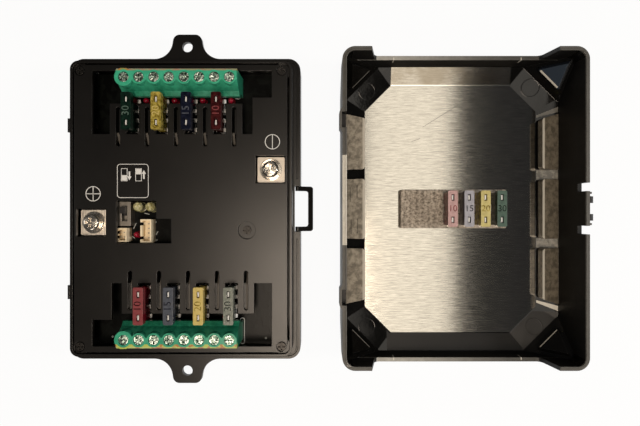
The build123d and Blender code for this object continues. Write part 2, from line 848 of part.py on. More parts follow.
for name, place in post_places.items():
    with BuildPart() as post:
        with BuildSketch(Plane.XY.offset(board_top)):
            with Locations(place):
                Rectangle(post_block_size, post_block_size)
        extrude(amount=post_block_height)
        with BuildSketch(Plane.XY.offset(board_top + post_block_height)):
            with Locations(place):
                RectangleRounded(post_plate_width, post_plate_length, post_plate_radius)
        extrude(amount=post_plate_thickness)
        with BuildSketch(Plane.XY.offset(post_plate_top)):
            with Locations(place):
                Circle(post_thread_radius)
        extrude(amount=board_top - post_plate_top, mode=Mode.SUBTRACT)
    write(post, f"{name}_post")

with BuildPart() as post_washers:
    with BuildSketch(Plane.XY.offset(post_plate_top)):
        with Locations(*post_places.values()):
            Circle(post_washer_radius)
            Circle(post_thread_radius, mode=Mode.SUBTRACT)
    extrude(amount=post_washer_thickness)
write(post_washers, "post_washers")

with BuildPart() as post_screws:
    with BuildSketch(Plane.XY.offset(post_head_base)):
        with Locations(*post_places.values()):
            Circle(post_head_radius)
    extrude(amount=post_head_height)
    head_rims = post_screws.edges().filter_by(GeomType.CIRCLE).group_by(Axis.Z)[-1]
    fillet(head_rims, post_head_edge)
    with BuildSketch(Plane.XY.offset(post_head_base)):
        with Locations(*post_places.values()):
            Circle(post_thread_radius - running_play)
    extrude(amount=board_top + post_screw_gap - post_head_base)
    with BuildSketch(Plane.XY.offset(post_head_base + post_head_height)):
        for place in post_places.values():
            with Locations(place):
                cross_recess(post_cross_width, post_cross_length)
    extrude(amount=-post_cross_depth, mode=Mode.SUBTRACT)
write(post_screws, "post_screws")

# Slide switch: a frame with a slotted top, and the slider whose foot runs inside it
switch_top = board_top + switch_height
foot_height = board_top + switch_floor + running_play

with BuildPart() as slide_switch_frame:
    with BuildSketch(Plane.XY.offset(board_top)):
        with Locations((switch_x, switch_y)):
            Rectangle(switch_width, switch_length)
    extrude(amount=switch_height)
    with BuildSketch(Plane.XY.offset(board_top + switch_floor)):
        with Locations((switch_x, switch_y)):
            Rectangle(switch_width - 2 * switch_wall, switch_length - 2 * switch_wall)
    extrude(amount=switch_height - switch_floor - switch_wall, mode=Mode.SUBTRACT)
    with BuildSketch(Plane.XY.offset(switch_top)):
        with Locations((switch_x, switch_y)):
            Rectangle(slider_width + 2 * seat_play, slider_length + slider_travel + 2 * seat_play)
    extrude(amount=-2 * switch_wall, mode=Mode.SUBTRACT)
write(slide_switch_frame, "slide_switch_frame")

with BuildPart() as slide_switch_knob:
    with BuildSketch(Plane.XY.offset(foot_height)):
        with Locations((switch_x, switch_y + slider_travel / 2)):
            Rectangle(switch_width - 2 * switch_wall - 2 * seat_play, slider_foot_length)
    extrude(amount=slider_foot_height)
    with BuildSketch(Plane.XY.offset(foot_height)):
        with Locations((switch_x, switch_y + slider_travel / 2)):
            Rectangle(slider_width, slider_length)
    extrude(amount=switch_top + slider_reach - foot_height)
write(slide_switch_knob, "slide_switch_knob")

# Pin headers: open trays with a slotted side, and their square pins
headers = {
    "two_pin_header": (two_pin_x, two_pin_y, two_pin_count),
    "four_pin_header": (four_pin_x, four_pin_y, four_pin_count),
}

for name, (x, y, pin_count) in headers.items():
    header_length = pin_spacing * (pin_count - 1) + header_end
    with BuildPart() as header:
        with BuildSketch(Plane.XY.offset(board_top)):
            with Locations((x, y)):
                Rectangle(header_depth, header_length)
        extrude(amount=header_height)
        with BuildSketch(Plane.XY.offset(board_top + header_floor)):
            with Locations((x, y)):
                Rectangle(header_depth - 2 * header_wall, header_length - 2 * header_wall)
            for slot_side in both_sides:
                with Locations((x - header_depth / 2, y + slot_side * (pin_spacing * (pin_count - 1) / 2))):
                    Rectangle(header_depth, header_slot_width)
        extrude(amount=header_height, mode=Mode.SUBTRACT)
        with BuildSketch(Plane.XY.offset(board_top)):
            with Locations((x + pin_offset, y)):
                with GridLocations(0, pin_spacing, 1, pin_count):
                    Rectangle(pin_size, pin_size)
        extrude(amount=header_floor, mode=Mode.SUBTRACT)
    write(header, name)

with BuildPart() as header_pins:
    with BuildSketch(Plane.XY.offset(board_top)):
        for x, y, pin_count in headers.values():
            with Locations((x + pin_offset, y)):
                with GridLocations(0, pin_spacing, 1, pin_count):
                    Rectangle(pin_size, pin_size)
    extrude(amount=pin_reach)
write(header_pins, "header_pins")

# Lamps: a rim, a cylinder and a dome each


def write_lamps(name, places, radius, rim, base, height):
    """Writes a group of round lamps that stand on the board."""
    with BuildPart() as lamp:
        with BuildSketch(Plane.XZ):
            with BuildLine():
                Polyline(
                    (0, height),
                    (0, 0),
                    (radius + rim, 0),
                    (radius + rim, base),
                    (radius, base),
                    (radius, height - radius),
                )
                CenterArc((0, height - radius), radius, 0, 90)
            make_face()
        revolve(axis=Axis.Z)
    with BuildPart() as lamps:
        with Locations(*[(x, y, board_top) for x, y in places]):
            add(lamp.part)
    write(lamps, name)


write_lamps(
    "status_lamps",
    [(status_led_left_x, status_led_y), (status_led_right_x, status_led_y)],
    status_led_radius,
    status_led_rim,
    status_led_base,
    status_led_height,
)
fuse_lamp_places = [
    row_point(side, fuse_place(index) - fuse_led_offset, well_half_length - fuse_led_inset)
    for side in rows.values()
    for index in range(fuse_count)
]
write_lamps(
    "fuse_lamps",
    [*fuse_lamp_places, (fault_led_x, fault_led_y)],
    fuse_led_radius,
    fuse_led_rim,
    fuse_led_base,
    fuse_led_height,
)

# Cover: a shell of facets, drawn twice, once at its outer faces and once a wall further in
cover_floor = Plane(origin=(cover_x, 0, 0))
cover_height = cover_shoulder + rim_height
chamfer_distance = (plateau_half_width + plateau_half_length - plateau_chamfer) / sqrt(2)
facets = []
for turn in (0, 180):
    facets.append((turn, plateau_half_width, side_slope_angle))
    facets.append((turn + 90, plateau_half_length, end_slope_angle))
corner_cut_distance = chamfer_distance + corner_cut_step
corner_turns = (45, 135, 225, 315)
for turn in corner_turns:
    facets.append((turn, chamfer_distance, corner_slope_angle))
    facets.append((turn, corner_cut_distance, corner_cut_angle))


def facet_plane(turn, distance, slope, inset):
    """The plane of one facet, moved inwards by inset, its normal pointing outwards."""
    across, along = cos(radians(turn)), sin(radians(turn))
    normal = (across * sin(radians(slope)), along * sin(radians(slope)), -cos(radians(slope)))
    return Plane(
        origin=(
            cover_x + across * distance - normal[0] * inset,
            along * distance - normal[1] * inset,
            -normal[2] * inset,
        ),
        z_dir=normal,
    )


def cover_form(inset, top):
    """The cover's closed form inside its outer faces by inset, up to a given height."""
    with BuildPart() as form:
        with BuildSketch(cover_floor.offset(inset)):
            RectangleRounded(box_width - 2 * inset, box_length - 2 * inset, box_corner_radius - inset)
        extrude(amount=top - inset)
        for turn, distance, slope in facets:
            split(bisect_by=facet_plane(turn, distance, slope, inset), keep=Keep.BOTTOM)
    return form.part


def side_pockets(inset):
    """The finger pockets along both sides, as blocks that reach past the side walls."""
    wall_reach = half_width + cutter_overrun
    inner = pocket_inner_reach + inset
    middle = pocket_middle_half - inset
    start = pocket_middle_half + pocket_rib + inset
    with BuildPart() as pockets:
        with BuildSketch(cover_floor.offset(-cutter_overrun)) as pocket_plan:
            with Locations((inner, 0)):
                Rectangle(wall_reach - inner, 2 * middle, align=(Align.MIN, Align.CENTER))
            for side in both_sides:
                Polygon(
                    (inner, side * start),
                    (wall_reach, side * start),
                    (wall_reach, side * (pocket_wall_end - inset)),
                    (inner, side * (pocket_inner_end - inset)),
                )
            fillet(pocket_plan.vertices().group_by(Axis.X)[0], pocket_corner_radius)
        extrude(amount=pocket_peak + 2 * cutter_overrun)
        slope = radians(pocket_slope_angle)
        split(
            bisect_by=Plane(
                origin=(
                    cover_x + pocket_inner_reach - inset * sin(slope),
                    0,
                    pocket_peak - inset * cos(slope),
                ),
                z_dir=(sin(slope), 0, cos(slope)),
            ),
            keep=Keep.BOTTOM,
        )
        mirror(about=Plane(origin=(cover_x, 0, 0), z_dir=(1, 0, 0)))
    return pockets.part


def corner_pockets(inset):
    """The three-sided pockets in the four corner cuts, as blocks that stand in from the outer faces."""
    with BuildPart() as blocks:
        for turn in corner_turns:
            cut = facet_plane(turn, corner_cut_distance, corner_cut_angle, 0)
            slope = radians(corner_cut_angle)
            uphill = Vector(cos(radians(turn)) * cos(slope), sin(radians(turn)) * cos(slope), sin(slope))
            along = Vector(-sin(radians(turn)), cos(radians(turn)), 0)
            shift = copysign((half_length - half_width) / sqrt(2), uphill.X * uphill.Y)
            middle = cut.origin + uphill * corner_pocket_rise + along * shift
            with BuildSketch(Plane(origin=middle, x_dir=uphill, z_dir=-cut.z_dir)):
                RegularPolygon(corner_pocket_side / sqrt(3) - 2 * inset, 3)
            extrude(amount=cover_wall + corner_pocket_depth - inset, taper=corner_pocket_draft)
    return blocks.part


with BuildPart() as cover_cavity:
    add(cover_form(cover_wall, cover_height + cutter_overrun))
    add(side_pockets(0), mode=Mode.SUBTRACT)
    add(corner_pockets(0), mode=Mode.SUBTRACT)

cover_inner_half = half_width - cover_wall
hook_top = bail_pivot_height + bail_reach - bail_bar_width - seat_play
hook_height = hook_top - flange_height - hook_lift
hook_base = cover_shoulder - hook_lift - hook_height
cover_side = Plane(origin=(cover_x, 0, 0), x_dir=(1, 0, 0), z_dir=(0, -1, 0))

with BuildPart() as cover_shell:
    add(cover_form(0, cover_height))
    # Bulges round the side pockets that take the base's tongues
    with BuildSketch(cover_floor.offset(cover_shoulder)):
        for line in (-tongue_line, tongue_line):
            Polygon(
                (-half_width, line - side_bulge_length / 2),
                (-half_width, line + side_bulge_length / 2),
                (-half_width - side_bulge_reach, line + side_bulge_length / 2 - side_bulge_taper),
                (-half_width - side_bulge_reach, line - side_bulge_length / 2 + side_bulge_taper),
            )
    extrude(amount=-side_bulge_depth)
    add(cover_cavity.part, mode=Mode.SUBTRACT)
    add(side_pockets(cover_wall), mode=Mode.SUBTRACT)
    add(corner_pockets(cover_wall), mode=Mode.SUBTRACT)
    # Rim that seats in the base's groove
    with BuildSketch(cover_floor.offset(cover_shoulder)):
        Rectangle(box_width + 2 * cutter_overrun, box_length + 2 * cutter_overrun)
        RectangleRounded(
            2 * (cover_inner_half + rim_width),
            box_length - 2 * (cover_wall - rim_width),
            box_corner_radius - cover_wall + rim_width,
            mode=Mode.SUBTRACT,
        )
    extrude(amount=rim_height + cutter_overrun, mode=Mode.SUBTRACT)
    # Low openings for the wires in both ends
    with BuildSketch(cover_side) as opening_plan:
        Polygon(
            (-opening_half_low, opening_floor),
            (opening_half_low, opening_floor),
            (opening_half_high, cover_height + cutter_overrun),
            (-opening_half_high, cover_height + cutter_overrun),
        )
        fillet(opening_plan.vertices().group_by(Axis.Y)[0], opening_low_radius)
    extrude(amount=half_length + cutter_overrun, both=True, mode=Mode.SUBTRACT)
    # Side pockets, open to the inside and to the rim
    with BuildSketch(cover_floor.offset(cover_shoulder - side_pocket_depth)):
        with Locations(*[(-half_width - side_pocket_reach, side * tongue_line) for side in both_sides]):
            Rectangle(
                cover_wall + side_pocket_reach, side_pocket_length, align=(Align.MIN, Align.CENTER)
            )
    extrude(amount=cover_height, mode=Mode.SUBTRACT)
    # Catch at the right: two notches for the bail's arms, and between them two hooks and two nibs
    with BuildSketch(cover_floor.offset(cover_shoulder - catch_notch_depth)):
        for side in both_sides:
            with Locations((cover_inner_half - seat_play, side * catch_notch_line)):
                Rectangle(cover_wall + cutter_overrun, catch_notch_width, align=(Align.MIN, Align.CENTER))
    extrude(amount=cover_height, mode=Mode.SUBTRACT)
    for line in (-hook_line, hook_line):
        with BuildSketch(cover_side.offset(line)):
            Polygon(
                (half_width, hook_base),
                (half_width + hook_reach, hook_base),
                (half_width + hook_reach, hook_base + hook_nose),
                (half_width + hook_nose, hook_base + hook_height),
                (half_width, hook_base + hook_height),
            )
        extrude(amount=hook_width / 2, both=True)
    with BuildSketch(cover_floor.offset(cover_shoulder - catch_notch_depth)):
        for line in (-nib_line, nib_line):
            with Locations((half_width, line)):
                Rectangle(nib_reach, nib_width, align=(Align.MIN, Align.CENTER))
    extrude(amount=catch_notch_depth)
write(cover_shell, "cover_shell")

# Liner sheet on the cover's floor
liner_half_width = plateau_half_width - cover_wall * tan(radians(side_slope_angle / 2)) - liner_gap
liner_half_length = plateau_half_length - cover_wall * tan(radians(end_slope_angle / 2)) - liner_gap
liner_distance = chamfer_distance - cover_wall * tan(radians(corner_slope_angle / 2)) - liner_gap
liner_chamfer = liner_half_width + liner_half_length - liner_distance * sqrt(2)
liner_top = cover_wall + liner_thickness

with BuildPart() as cover_liner:
    with BuildSketch(cover_floor.offset(cover_wall)) as liner_plan:
        Rectangle(2 * liner_half_width, 2 * liner_half_length)
        chamfer(liner_plan.vertices(), liner_chamfer)
    extrude(amount=liner_thickness)
write(cover_liner, "cover_liner")

# Foam pad with a slot for each blade of the spare fuses
spare_tip = liner_top + spare_tip_gap
spare_places = [spare_fuse_start + spare_fuse_spacing * index for index in range(fuse_count)]

with BuildPart() as spare_fuse_pad:
    with BuildSketch(cover_floor.offset(liner_top)):
        RectangleRounded(pad_length, pad_width, pad_radius)
    extrude(amount=pad_thickness)
    with BuildSketch(cover_floor.offset(spare_tip)):
        for side in both_sides:
            with Locations(*[(place, side * blade_spacing / 2) for place in spare_places]):
                Rectangle(clip_gap, blade_width + 2 * running_play)
    extrude(amount=pad_thickness, mode=Mode.SUBTRACT)
write(spare_fuse_pad, "spare_fuse_pad")

for index, place in enumerate(spare_places):
    write_fuse(f"spare_fuse_{index + 1}", cover_x + place, 0, spare_tip)
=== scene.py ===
# Fuse box panel: finishes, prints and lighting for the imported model
import bpy, bmesh, json, math
from mathutils import Matrix, Vector, noise


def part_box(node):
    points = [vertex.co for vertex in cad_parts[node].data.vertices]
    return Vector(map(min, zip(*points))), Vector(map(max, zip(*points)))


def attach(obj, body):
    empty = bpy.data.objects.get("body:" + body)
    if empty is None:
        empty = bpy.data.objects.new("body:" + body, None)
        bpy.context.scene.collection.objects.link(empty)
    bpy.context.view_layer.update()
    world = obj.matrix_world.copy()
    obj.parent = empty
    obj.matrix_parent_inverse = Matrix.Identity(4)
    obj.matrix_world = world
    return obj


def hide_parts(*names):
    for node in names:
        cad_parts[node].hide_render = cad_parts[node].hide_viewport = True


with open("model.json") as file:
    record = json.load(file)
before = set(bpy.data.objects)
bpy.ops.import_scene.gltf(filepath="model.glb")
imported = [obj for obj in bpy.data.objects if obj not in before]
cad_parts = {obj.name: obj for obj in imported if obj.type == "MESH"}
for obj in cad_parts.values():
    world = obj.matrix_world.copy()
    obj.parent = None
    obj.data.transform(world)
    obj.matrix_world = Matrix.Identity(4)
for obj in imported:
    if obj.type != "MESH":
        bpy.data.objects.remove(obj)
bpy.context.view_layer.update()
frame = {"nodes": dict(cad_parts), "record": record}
nodes = frame["nodes"]
print("frame loaded:", len(nodes), "nodes")


def mm(value):
    return value / 1000


# Shader maths on sockets
class Wire:
    def __init__(self, finish, socket):
        self.finish, self.socket = finish, socket

    def maths(self, operation, first, second=0.0):
        return self.finish.node("ShaderNodeMath", {"operation": operation}, {0: first, 1: second})

    def __add__(self, other):
        return self.maths("ADD", self, other)

    def __sub__(self, other):
        return self.maths("SUBTRACT", self, other)

    def __rsub__(self, other):
        return self.maths("SUBTRACT", other, self)

    def __mul__(self, other):
        return self.maths("MULTIPLY", self, other)

    def __truediv__(self, other):
        return self.maths("DIVIDE", self, other)

    def __pow__(self, other):
        return self.maths("POWER", self, other)

    def __gt__(self, other):
        return self.maths("GREATER_THAN", self, other)

    def __lt__(self, other):
        return self.maths("LESS_THAN", self, other)

    def __abs__(self):
        return self.maths("ABSOLUTE", self)

    __radd__, __rmul__ = __add__, __mul__

    def fract(self):
        return self.maths("FRACT", self)

    def root(self):
        return self.maths("SQRT", self)

    def step(self, low, high):  # 0 below low, 1 above high, smooth between
        spread = {"Value": self, "From Min": low, "From Max": high}
        return self.finish.node("ShaderNodeMapRange", {"interpolation_type": "SMOOTHSTEP"}, spread)


class Finish:  # one material and the nodes that feed its shader
    def __init__(self, name, **settings):
        self.material = bpy.data.materials.new(name)
        self.material.use_nodes = True
        self.tree = self.material.node_tree
        self.shader = self.tree.nodes["Principled BSDF"]
        for label, value in settings.items():
            self.set(label.replace("_", " "), value)

    def set(self, label, value):
        socket = self.shader.inputs[label]
        if isinstance(value, Wire):
            self.tree.links.new(value.socket, socket)
        else:
            socket.default_value = (*value, 1.0) if label in ("Base Color", "Emission Color") else value

    def node(self, kind, settings, sockets, out=0):
        made = self.tree.nodes.new(kind)
        for label, value in settings.items():
            setattr(made, label, value)
        for label, value in sockets.items():
            if isinstance(value, Wire):
                self.tree.links.new(value.socket, made.inputs[label])
            elif isinstance(value, tuple) and made.inputs[label].type == "RGBA":
                made.inputs[label].default_value = (*value, 1.0)
            else:
                made.inputs[label].default_value = value
        return Wire(self, made.outputs[out])

    def place(self, stretch):  # object coordinates in metres
        raw = self.node("ShaderNodeTexCoord", {}, {}, out=3)
        return self.node("ShaderNodeMapping", {}, {"Vector": raw, "Scale": stretch})

    def axes(self):
        raw = self.node("ShaderNodeTexCoord", {}, {}, out=3)
        parts = self.node("ShaderNodeSeparateXYZ", {}, {"Vector": raw})
        return [Wire(self, socket) for socket in parts.socket.node.outputs]

    def within(self, spans):  # 1 inside the spans of axis wires in millimetres, else 0
        inside = 1.0
        for wire, low, high in spans:
            inside = (wire > mm(low)) * (wire < mm(high)) * inside
        return inside

    def cloud(self, scale, detail=3.0, rough=0.55, stretch=(1, 1, 1)):
        sockets = {"Vector": self.place(stretch), "Scale": scale, "Detail": detail, "Roughness": rough}
        return self.node("ShaderNodeTexNoise", {}, sockets)

    def mix(self, factor, first, second):
        return self.node("ShaderNodeMix", {"data_type": "RGBA"}, {0: factor, 6: first, 7: second}, out=2)

    def bump(self, height, strength, distance, edge=None):
        sockets = {"Height": height, "Strength": strength, "Distance": distance}
        if edge:
            sockets["Normal"] = self.node("ShaderNodeBevel", {"samples": 6}, {"Radius": edge})
        self.set("Normal", self.node("ShaderNodeBump", {}, sockets))


# Moulded black of the base, the plate and the bail
bodyLook = {"dark": (0.0022, 0.0019, 0.0015), "pale": (0.0046, 0.0038, 0.0030), "edge": 0.00035}


def makeBodyBlack():
    finish = Finish("bodyBlack", Specular_IOR_Level=0.45)
    patches = finish.cloud(45, 4)
    grain = finish.cloud(1900, 2)
    finish.set("Base Color", finish.mix(patches, bodyLook["dark"], bodyLook["pale"]))
    finish.set("Roughness", 0.28 + patches * 0.06 + grain * 0.05)
    finish.bump(grain + finish.cloud(420, 2) * 0.6, 0.16, 0.00009, bodyLook["edge"])
    return finish.material


# Polished black of the cover, in millimetres from its middle: ejector marks, painted reflections on the
# pocket tops and painted highlights on rims and edges
coverLook = {
    "middle": 147.0, "edge": 0.0004,
    # lit is the painted highlight colour of crests, ticks, strips, seams and feet
    "dark": (0.0016, 0.0016, 0.0015), "pale": (0.0060, 0.0056, 0.0050), "lit": (0.72, 0.69, 0.61),
    # painted reflection colours for the left and right pocket tops, and the painted highlight colour of the
    # ridges
    "leftPocketReflection": (0.44, 0.40, 0.33), "rightPocketReflection": (0.190, 0.165, 0.125), "ridge": (0.30, 0.285, 0.245),
    # painted bluish reflection for the far corner facet and its border, and the painted highlight grey of the
    # rims
    "farFacetReflection": (0.030, 0.041, 0.058), "rim": (0.012, 0.016, 0.024), "rimHighlight": (0.48, 0.47, 0.43),
    "marks": [  # across, along, radius
        (-54.6, 38.0, 2.4), (-54.6, -1.0, 2.7), (-54.6, -38.0, 2.4), (55.4, 36.0, 2.2), (55.4, -1.0, 2.4),
        (55.4, -35.0, 2.2), (45.1, 68.5, 4.8), (-47.2, 66.6, 4.6), (47.2, -66.6, 4.6), (-47.2, -66.6, 4.6),
    ],
    "markLine": (0.30, 0.05),
    "ribs": [  # across, along, width, length
        (-56.9, 8.0, 0.5, 8.0), (-53.2, 9.5, 0.6, 7.5), (-56.4, -10.0, 0.5, 8.5), (-53.0, -9.5, 0.5, 8.0),
    ],
    "zones": {  # side and end are the distances across and along, whichever way
        "pocket": {"end": (0, 55), "up": (4.9, 10.6), "side": (48.7, 60.2)},
        "ridge": {"end": (16.6, 22.0), "up": (2.3, 4.9), "across": (49, 60.2)},
        "crest": {"end": (0, 52), "up": (9.75, 10.6), "side": (48.7, 50.6)},
        "strip": {"along": (-18.5, 27), "up": (30.9, 33), "across": (-62.6, -60.3)},
        "corner": {"side": (45, 58), "end": (64.5, 78), "up": (10.6, 23)},
        "brink": {"up": (16.45, 17.1), "end": (79.7, 83)},
        "seam": {"across": (49, 60.2), "up": (2.3, 9)},
        "ticks": {"fromTick": (-1, 0.25), "end": (79.6, 81.2), "up": (12.5, 16.9)},
        "lowEnd": {"along": (-80, -58), "up": (2.3, 10.6), "across": (-36, 60)},
    },
    "tick": 34.2, "rimTop": 31.1, "wallSide": 60.2, "wallEnd": 79.7, "wallFrom": 5.5,
    "slant": (0.58, 0.57), "borderFrom": -65.9, "faceFrom": -63.4, "foot": (-64.3, -62.6),
    "footTop": 11.9, "farFoot": 0.4, "footOff": 19.5, "footReach": 9.3,
    "seamStart": (49.4, 52.6), "seamLean": 0.32, "seamHalf": 0.7, "seamFlare": 0.07, "paleFrom": (30, -45),
}


def makeCoverBlack():
    finish = Finish("coverBlack", Specular_IOR_Level=0.32)
    look = coverLook
    fromEdge, along, up = finish.axes()
    across = fromEdge - mm(look["middle"])
    side, end = abs(across), abs(along)
    axes = {
        "across": across, "along": along, "up": up, "side": side, "end": end,
        "fromTick": abs(side - mm(look["tick"])),
    }
    zone = {
        name: finish.within([(axes[axis], low, high) for axis, (low, high) in spans.items()])
        for name, spans in look["zones"].items()
    }
    marks, bars = 0.0, 0.0
    for markX, markY, radius in look["marks"]:
        away = ((across - mm(markX)) ** 2.0 + (along - mm(markY)) ** 2.0).root()
        outer, inner = look["markLine"]
        marks = abs(away - mm(radius)).step(mm(outer), mm(inner)) + marks
    for ribX, ribY, width, length in look["ribs"]:
        bars = finish.within([
            (across, ribX - width / 2, ribX + width / 2), (along, ribY - length / 2, ribY + length / 2),
        ]) + bars
    smudge = finish.cloud(60, 5, 0.65)
    streak = finish.cloud(240, 3, 0.6, (1, 0.25, 1))
    wearAndSheenMottle = finish.cloud(330, 4, 0.65)

    # Pocket tops painted pale as painted reflection, brighter on the left than on the right, mottled and
    # darker on the ribs, and a painted highlight on the right ridges between them
    tone = finish.mix(smudge, look["dark"], look["pale"])
    pocketReflection = finish.mix(across > 0.0, look["leftPocketReflection"], look["rightPocketReflection"])
    pocketSheenMottle = wearAndSheenMottle.step(0.35, 0.65) * 0.55 + 0.45
    tone = finish.mix(zone["pocket"] * pocketSheenMottle * (1 - bars * 0.55), tone, pocketReflection)
    tone = finish.mix(zone["ridge"] * pocketSheenMottle, tone, look["ridge"])

    # Painted highlights on the rim tops and along the end walls at their brink, stronger to the left, and a
    # painted highlight along the seam at the right pockets' ends
    startLow, startHigh = look["paleFrom"]
    leftward = across.step(mm(startLow), mm(startHigh)) * 0.75 + 0.18
    edges = (up > mm(look["rimTop"])) * 0.22 + zone["brink"] * leftward
    tone = finish.mix(edges * (wearAndSheenMottle * 0.6 + 0.5), tone, look["rimHighlight"])
    seamAcross, seamEnd = look["seamStart"]
    run = across - mm(seamAcross)
    offSeam = abs(end - mm(seamEnd) - run * look["seamLean"])
    seam = (offSeam < mm(look["seamHalf"]) + run * look["seamFlare"]) * zone["seam"]
    tone = finish.mix(seam * ((along < 0.0) * 0.75 + 0.2), tone, look["lit"])

    # Triangular corner pockets: the far right one gets a painted bluish reflection on its face and border,
    # and each gets a painted highlight along its foot
    rise, fall = look["slant"]
    slant = up * rise - (side + end) * fall
    far = (across > 0.0) * (along > 0.0)
    near = (along < 0.0) * ((across > 0.0) * 0.4 + 0.1)
    tone = finish.mix(zone["corner"] * (slant > mm(look["borderFrom"])) * far, tone, look["rim"])
    tone = finish.mix(zone["corner"] * (slant > mm(look["faceFrom"])) * far, tone, look["farFacetReflection"])
    footLow, footHigh = look["foot"]
    foot = zone["corner"] * (slant > mm(footLow)) * (slant < mm(footHigh))
    foot = foot * (up < far * mm(look["farFoot"]) + mm(look["footTop"]))
    foot = foot * (abs(side - end + mm(look["footOff"])) < mm(look["footReach"]))
    # Painted highlights on the right pockets' crests, the ticks on the end walls and the strip along the left
    # wall's top, with the corner feet
    lit = zone["crest"] * 0.8 + zone["ticks"] * 0.8 + zone["strip"] * (wearAndSheenMottle * 0.5 + 0.6)
    finish.set("Base Color", finish.mix(lit + foot * (far * 0.7 + near + 0.12), tone, look["lit"]))

    wall = ((side > mm(look["wallSide"])) + (end > mm(look["wallEnd"]))) * (up > mm(look["wallFrom"]))
    rough = 0.07 + smudge.step(0.42, 0.75) * 0.12 + streak * 0.04 + zone["pocket"] * 0.25 + wall * 0.40
    finish.set("Roughness", rough + zone["lowEnd"] * 0.34)
    relief = marks * 0.9 + bars * 0.9 + finish.cloud(700, 2) * 0.25 + zone["pocket"] * wearAndSheenMottle * 0.8
    finish.bump(relief, 0.40, 0.00014, look["edge"])
    return finish.material


# Brushed liner, with its hair scratches, the tab darkened brown, more in blotches, and a painted highlight
# along the crease of the tab
linerLook = {
    "pale": (0.54, 0.51, 0.45), "dark": (0.26, 0.245, 0.215), "smear": (0.19, 0.155, 0.11),
    "bend": (0.92, 0.88, 0.78), "scratch": (0.06, 0.055, 0.05),
    "hairs": (240, 7000, 1), "bands": (110, 1800, 1), "crease": 70.1, "creaseHalf": 0.28,
    "scratches": [(-15.55, 46.4, 4.36, 58.8), (-22.0, 38.1, -17.0, 40.0)],  # from and to, across and along
    "scratchLine": (0.20, 0.06),
}


def makeLiner():
    finish = Finish("brushedLiner", Metallic=1.0)
    look = linerLook
    across, along = finish.axes()[:2]
    hairs = finish.cloud(1, 2, 0.6, look["hairs"])
    bands = finish.cloud(1, 3, 0.6, look["bands"])
    smear = finish.cloud(70, 4, 0.6)
    scratched = 0.0
    outer, inner = look["scratchLine"]
    for startX, startY, endX, endY in look["scratches"]:
        reach = math.hypot(endX - startX, endY - startY)
        turnX, turnY = (endX - startX) / reach, (endY - startY) / reach
        fromX, fromY = across - mm(coverLook["middle"] + startX), along - mm(startY)
        off = abs(fromX * turnY - fromY * turnX).step(mm(outer), mm(inner))
        run = fromX * turnX + fromY * turnY
        scratched = off * (run > 0.0) * (run < mm(reach)) + scratched
    tone = finish.mix((bands * 0.5 + hairs * 0.5).step(0.28, 0.68), look["dark"], look["pale"])
    tab = along > mm(look["crease"])
    tone = finish.mix(tab * (smear.step(0.35, 0.65) * 0.4 + 0.35), tone, look["smear"])
    # painted highlight along the crease
    crease = abs(along - mm(look["crease"])) < mm(look["creaseHalf"])
    tone = finish.mix(crease * 0.8, tone, look["bend"])
    finish.set("Base Color", finish.mix(scratched * 0.7, tone, look["scratch"]))
    finish.set("Roughness", 0.09 + bands * 0.05)
    finish.bump(hairs + bands * 0.6, 0.14, 0.00003)
    return finish.material


# Foam of the pad, ribbed across
foamLook = {
    "rib": 3.3, "dark": (0.105, 0.085, 0.066), "pale": (0.68, 0.60, 0.50), "patch": (0.17, 0.145, 0.12),
}


def makeFoam():
    finish = Finish("padFoam", Roughness=0.92, Specular_IOR_Level=0.25)
    across = finish.axes()[0]
    ribs = abs((across / mm(foamLook["rib"])).fract() - 0.5) * 2.0
    cells = finish.cloud(640, 4, 0.8).step(0.36, 0.62)
    patches = finish.cloud(90, 2)
    tone = finish.mix(ribs * 0.25 + cells * 0.75, foamLook["dark"], foamLook["pale"])
    finish.set("Base Color", finish.mix(patches.step(0.4, 0.7) * 0.3, tone, foamLook["patch"]))
    finish.bump(ribs * 0.3 + cells * 0.8, 0.5, 0.0003)
    return finish.material


# Terminal green, painted lighter towards the top and on the top row as painted highlight, with the yellow and
# orange wedges along its outer top edge, a painted yellow sheen on the bottom row and brown as painted shade
# on the top row
terminalLook = {
    "middle": 0.7, "pitch": 7.62, "line": 66.4, "collar": 3.70, "lip": {"bottom": 2.1, "top": 3.2},
    "above": 29.0, "shade": (25, 31.5),
    "green": (0.003, 0.095, 0.050), "light": (0.050, 0.440, 0.260),
    "sheen": (0.50, 0.54, 0.09), "brown": (0.30, 0.21, 0.055), "orange": (0.48, 0.14, 0.025),
}


def makeTerminalGreen():
    look = terminalLook
    finish = Finish("terminalGreen", Specular_IOR_Level=0.5)
    across, along, up = finish.axes()
    offset = ((across - mm(look["middle"])) / mm(look["pitch"])).fract() - 0.5
    dx = offset * mm(look["pitch"])
    dy = abs(along) - mm(look["line"])
    away = (dx ** 2.0 + dy ** 2.0).root()
    topRow = along > 0.0
    lip = topRow * mm(look["lip"]["top"] - look["lip"]["bottom"]) + mm(look["lip"]["bottom"])
    ledge = (away > mm(look["collar"])) * (dy > lip) * (up > mm(look["above"]))
    mottle = finish.cloud(160, 3)
    blots = finish.cloud(420, 4, 0.7)
    shadeLow, shadeHigh = look["shade"]
    height = up.step(mm(shadeLow), mm(shadeHigh))
    # painted highlight: lighter towards the top and on the top row, with random blots
    shade = height * 0.55 + topRow * 0.22 + blots.step(0.35, 0.70) * 0.25
    tone = finish.mix(shade, look["green"], look["light"])
    # the wedge colour: a painted yellow sheen on the bottom row, painted shade brown on the top row
    wedge = finish.mix(topRow * 0.75, look["sheen"], look["brown"])
    wedge = finish.mix(finish.cloud(300, 2).step(0.47, 0.58), wedge, look["orange"])
    finish.set("Base Color", finish.mix(ledge * 0.85, tone, wedge))
    finish.set("Roughness", 0.20 + blots * 0.22)
    finish.bump(mottle + blots * 0.5, 0.16, 0.0001, 0.00025)
    return finish.material


crownBand = 0.25


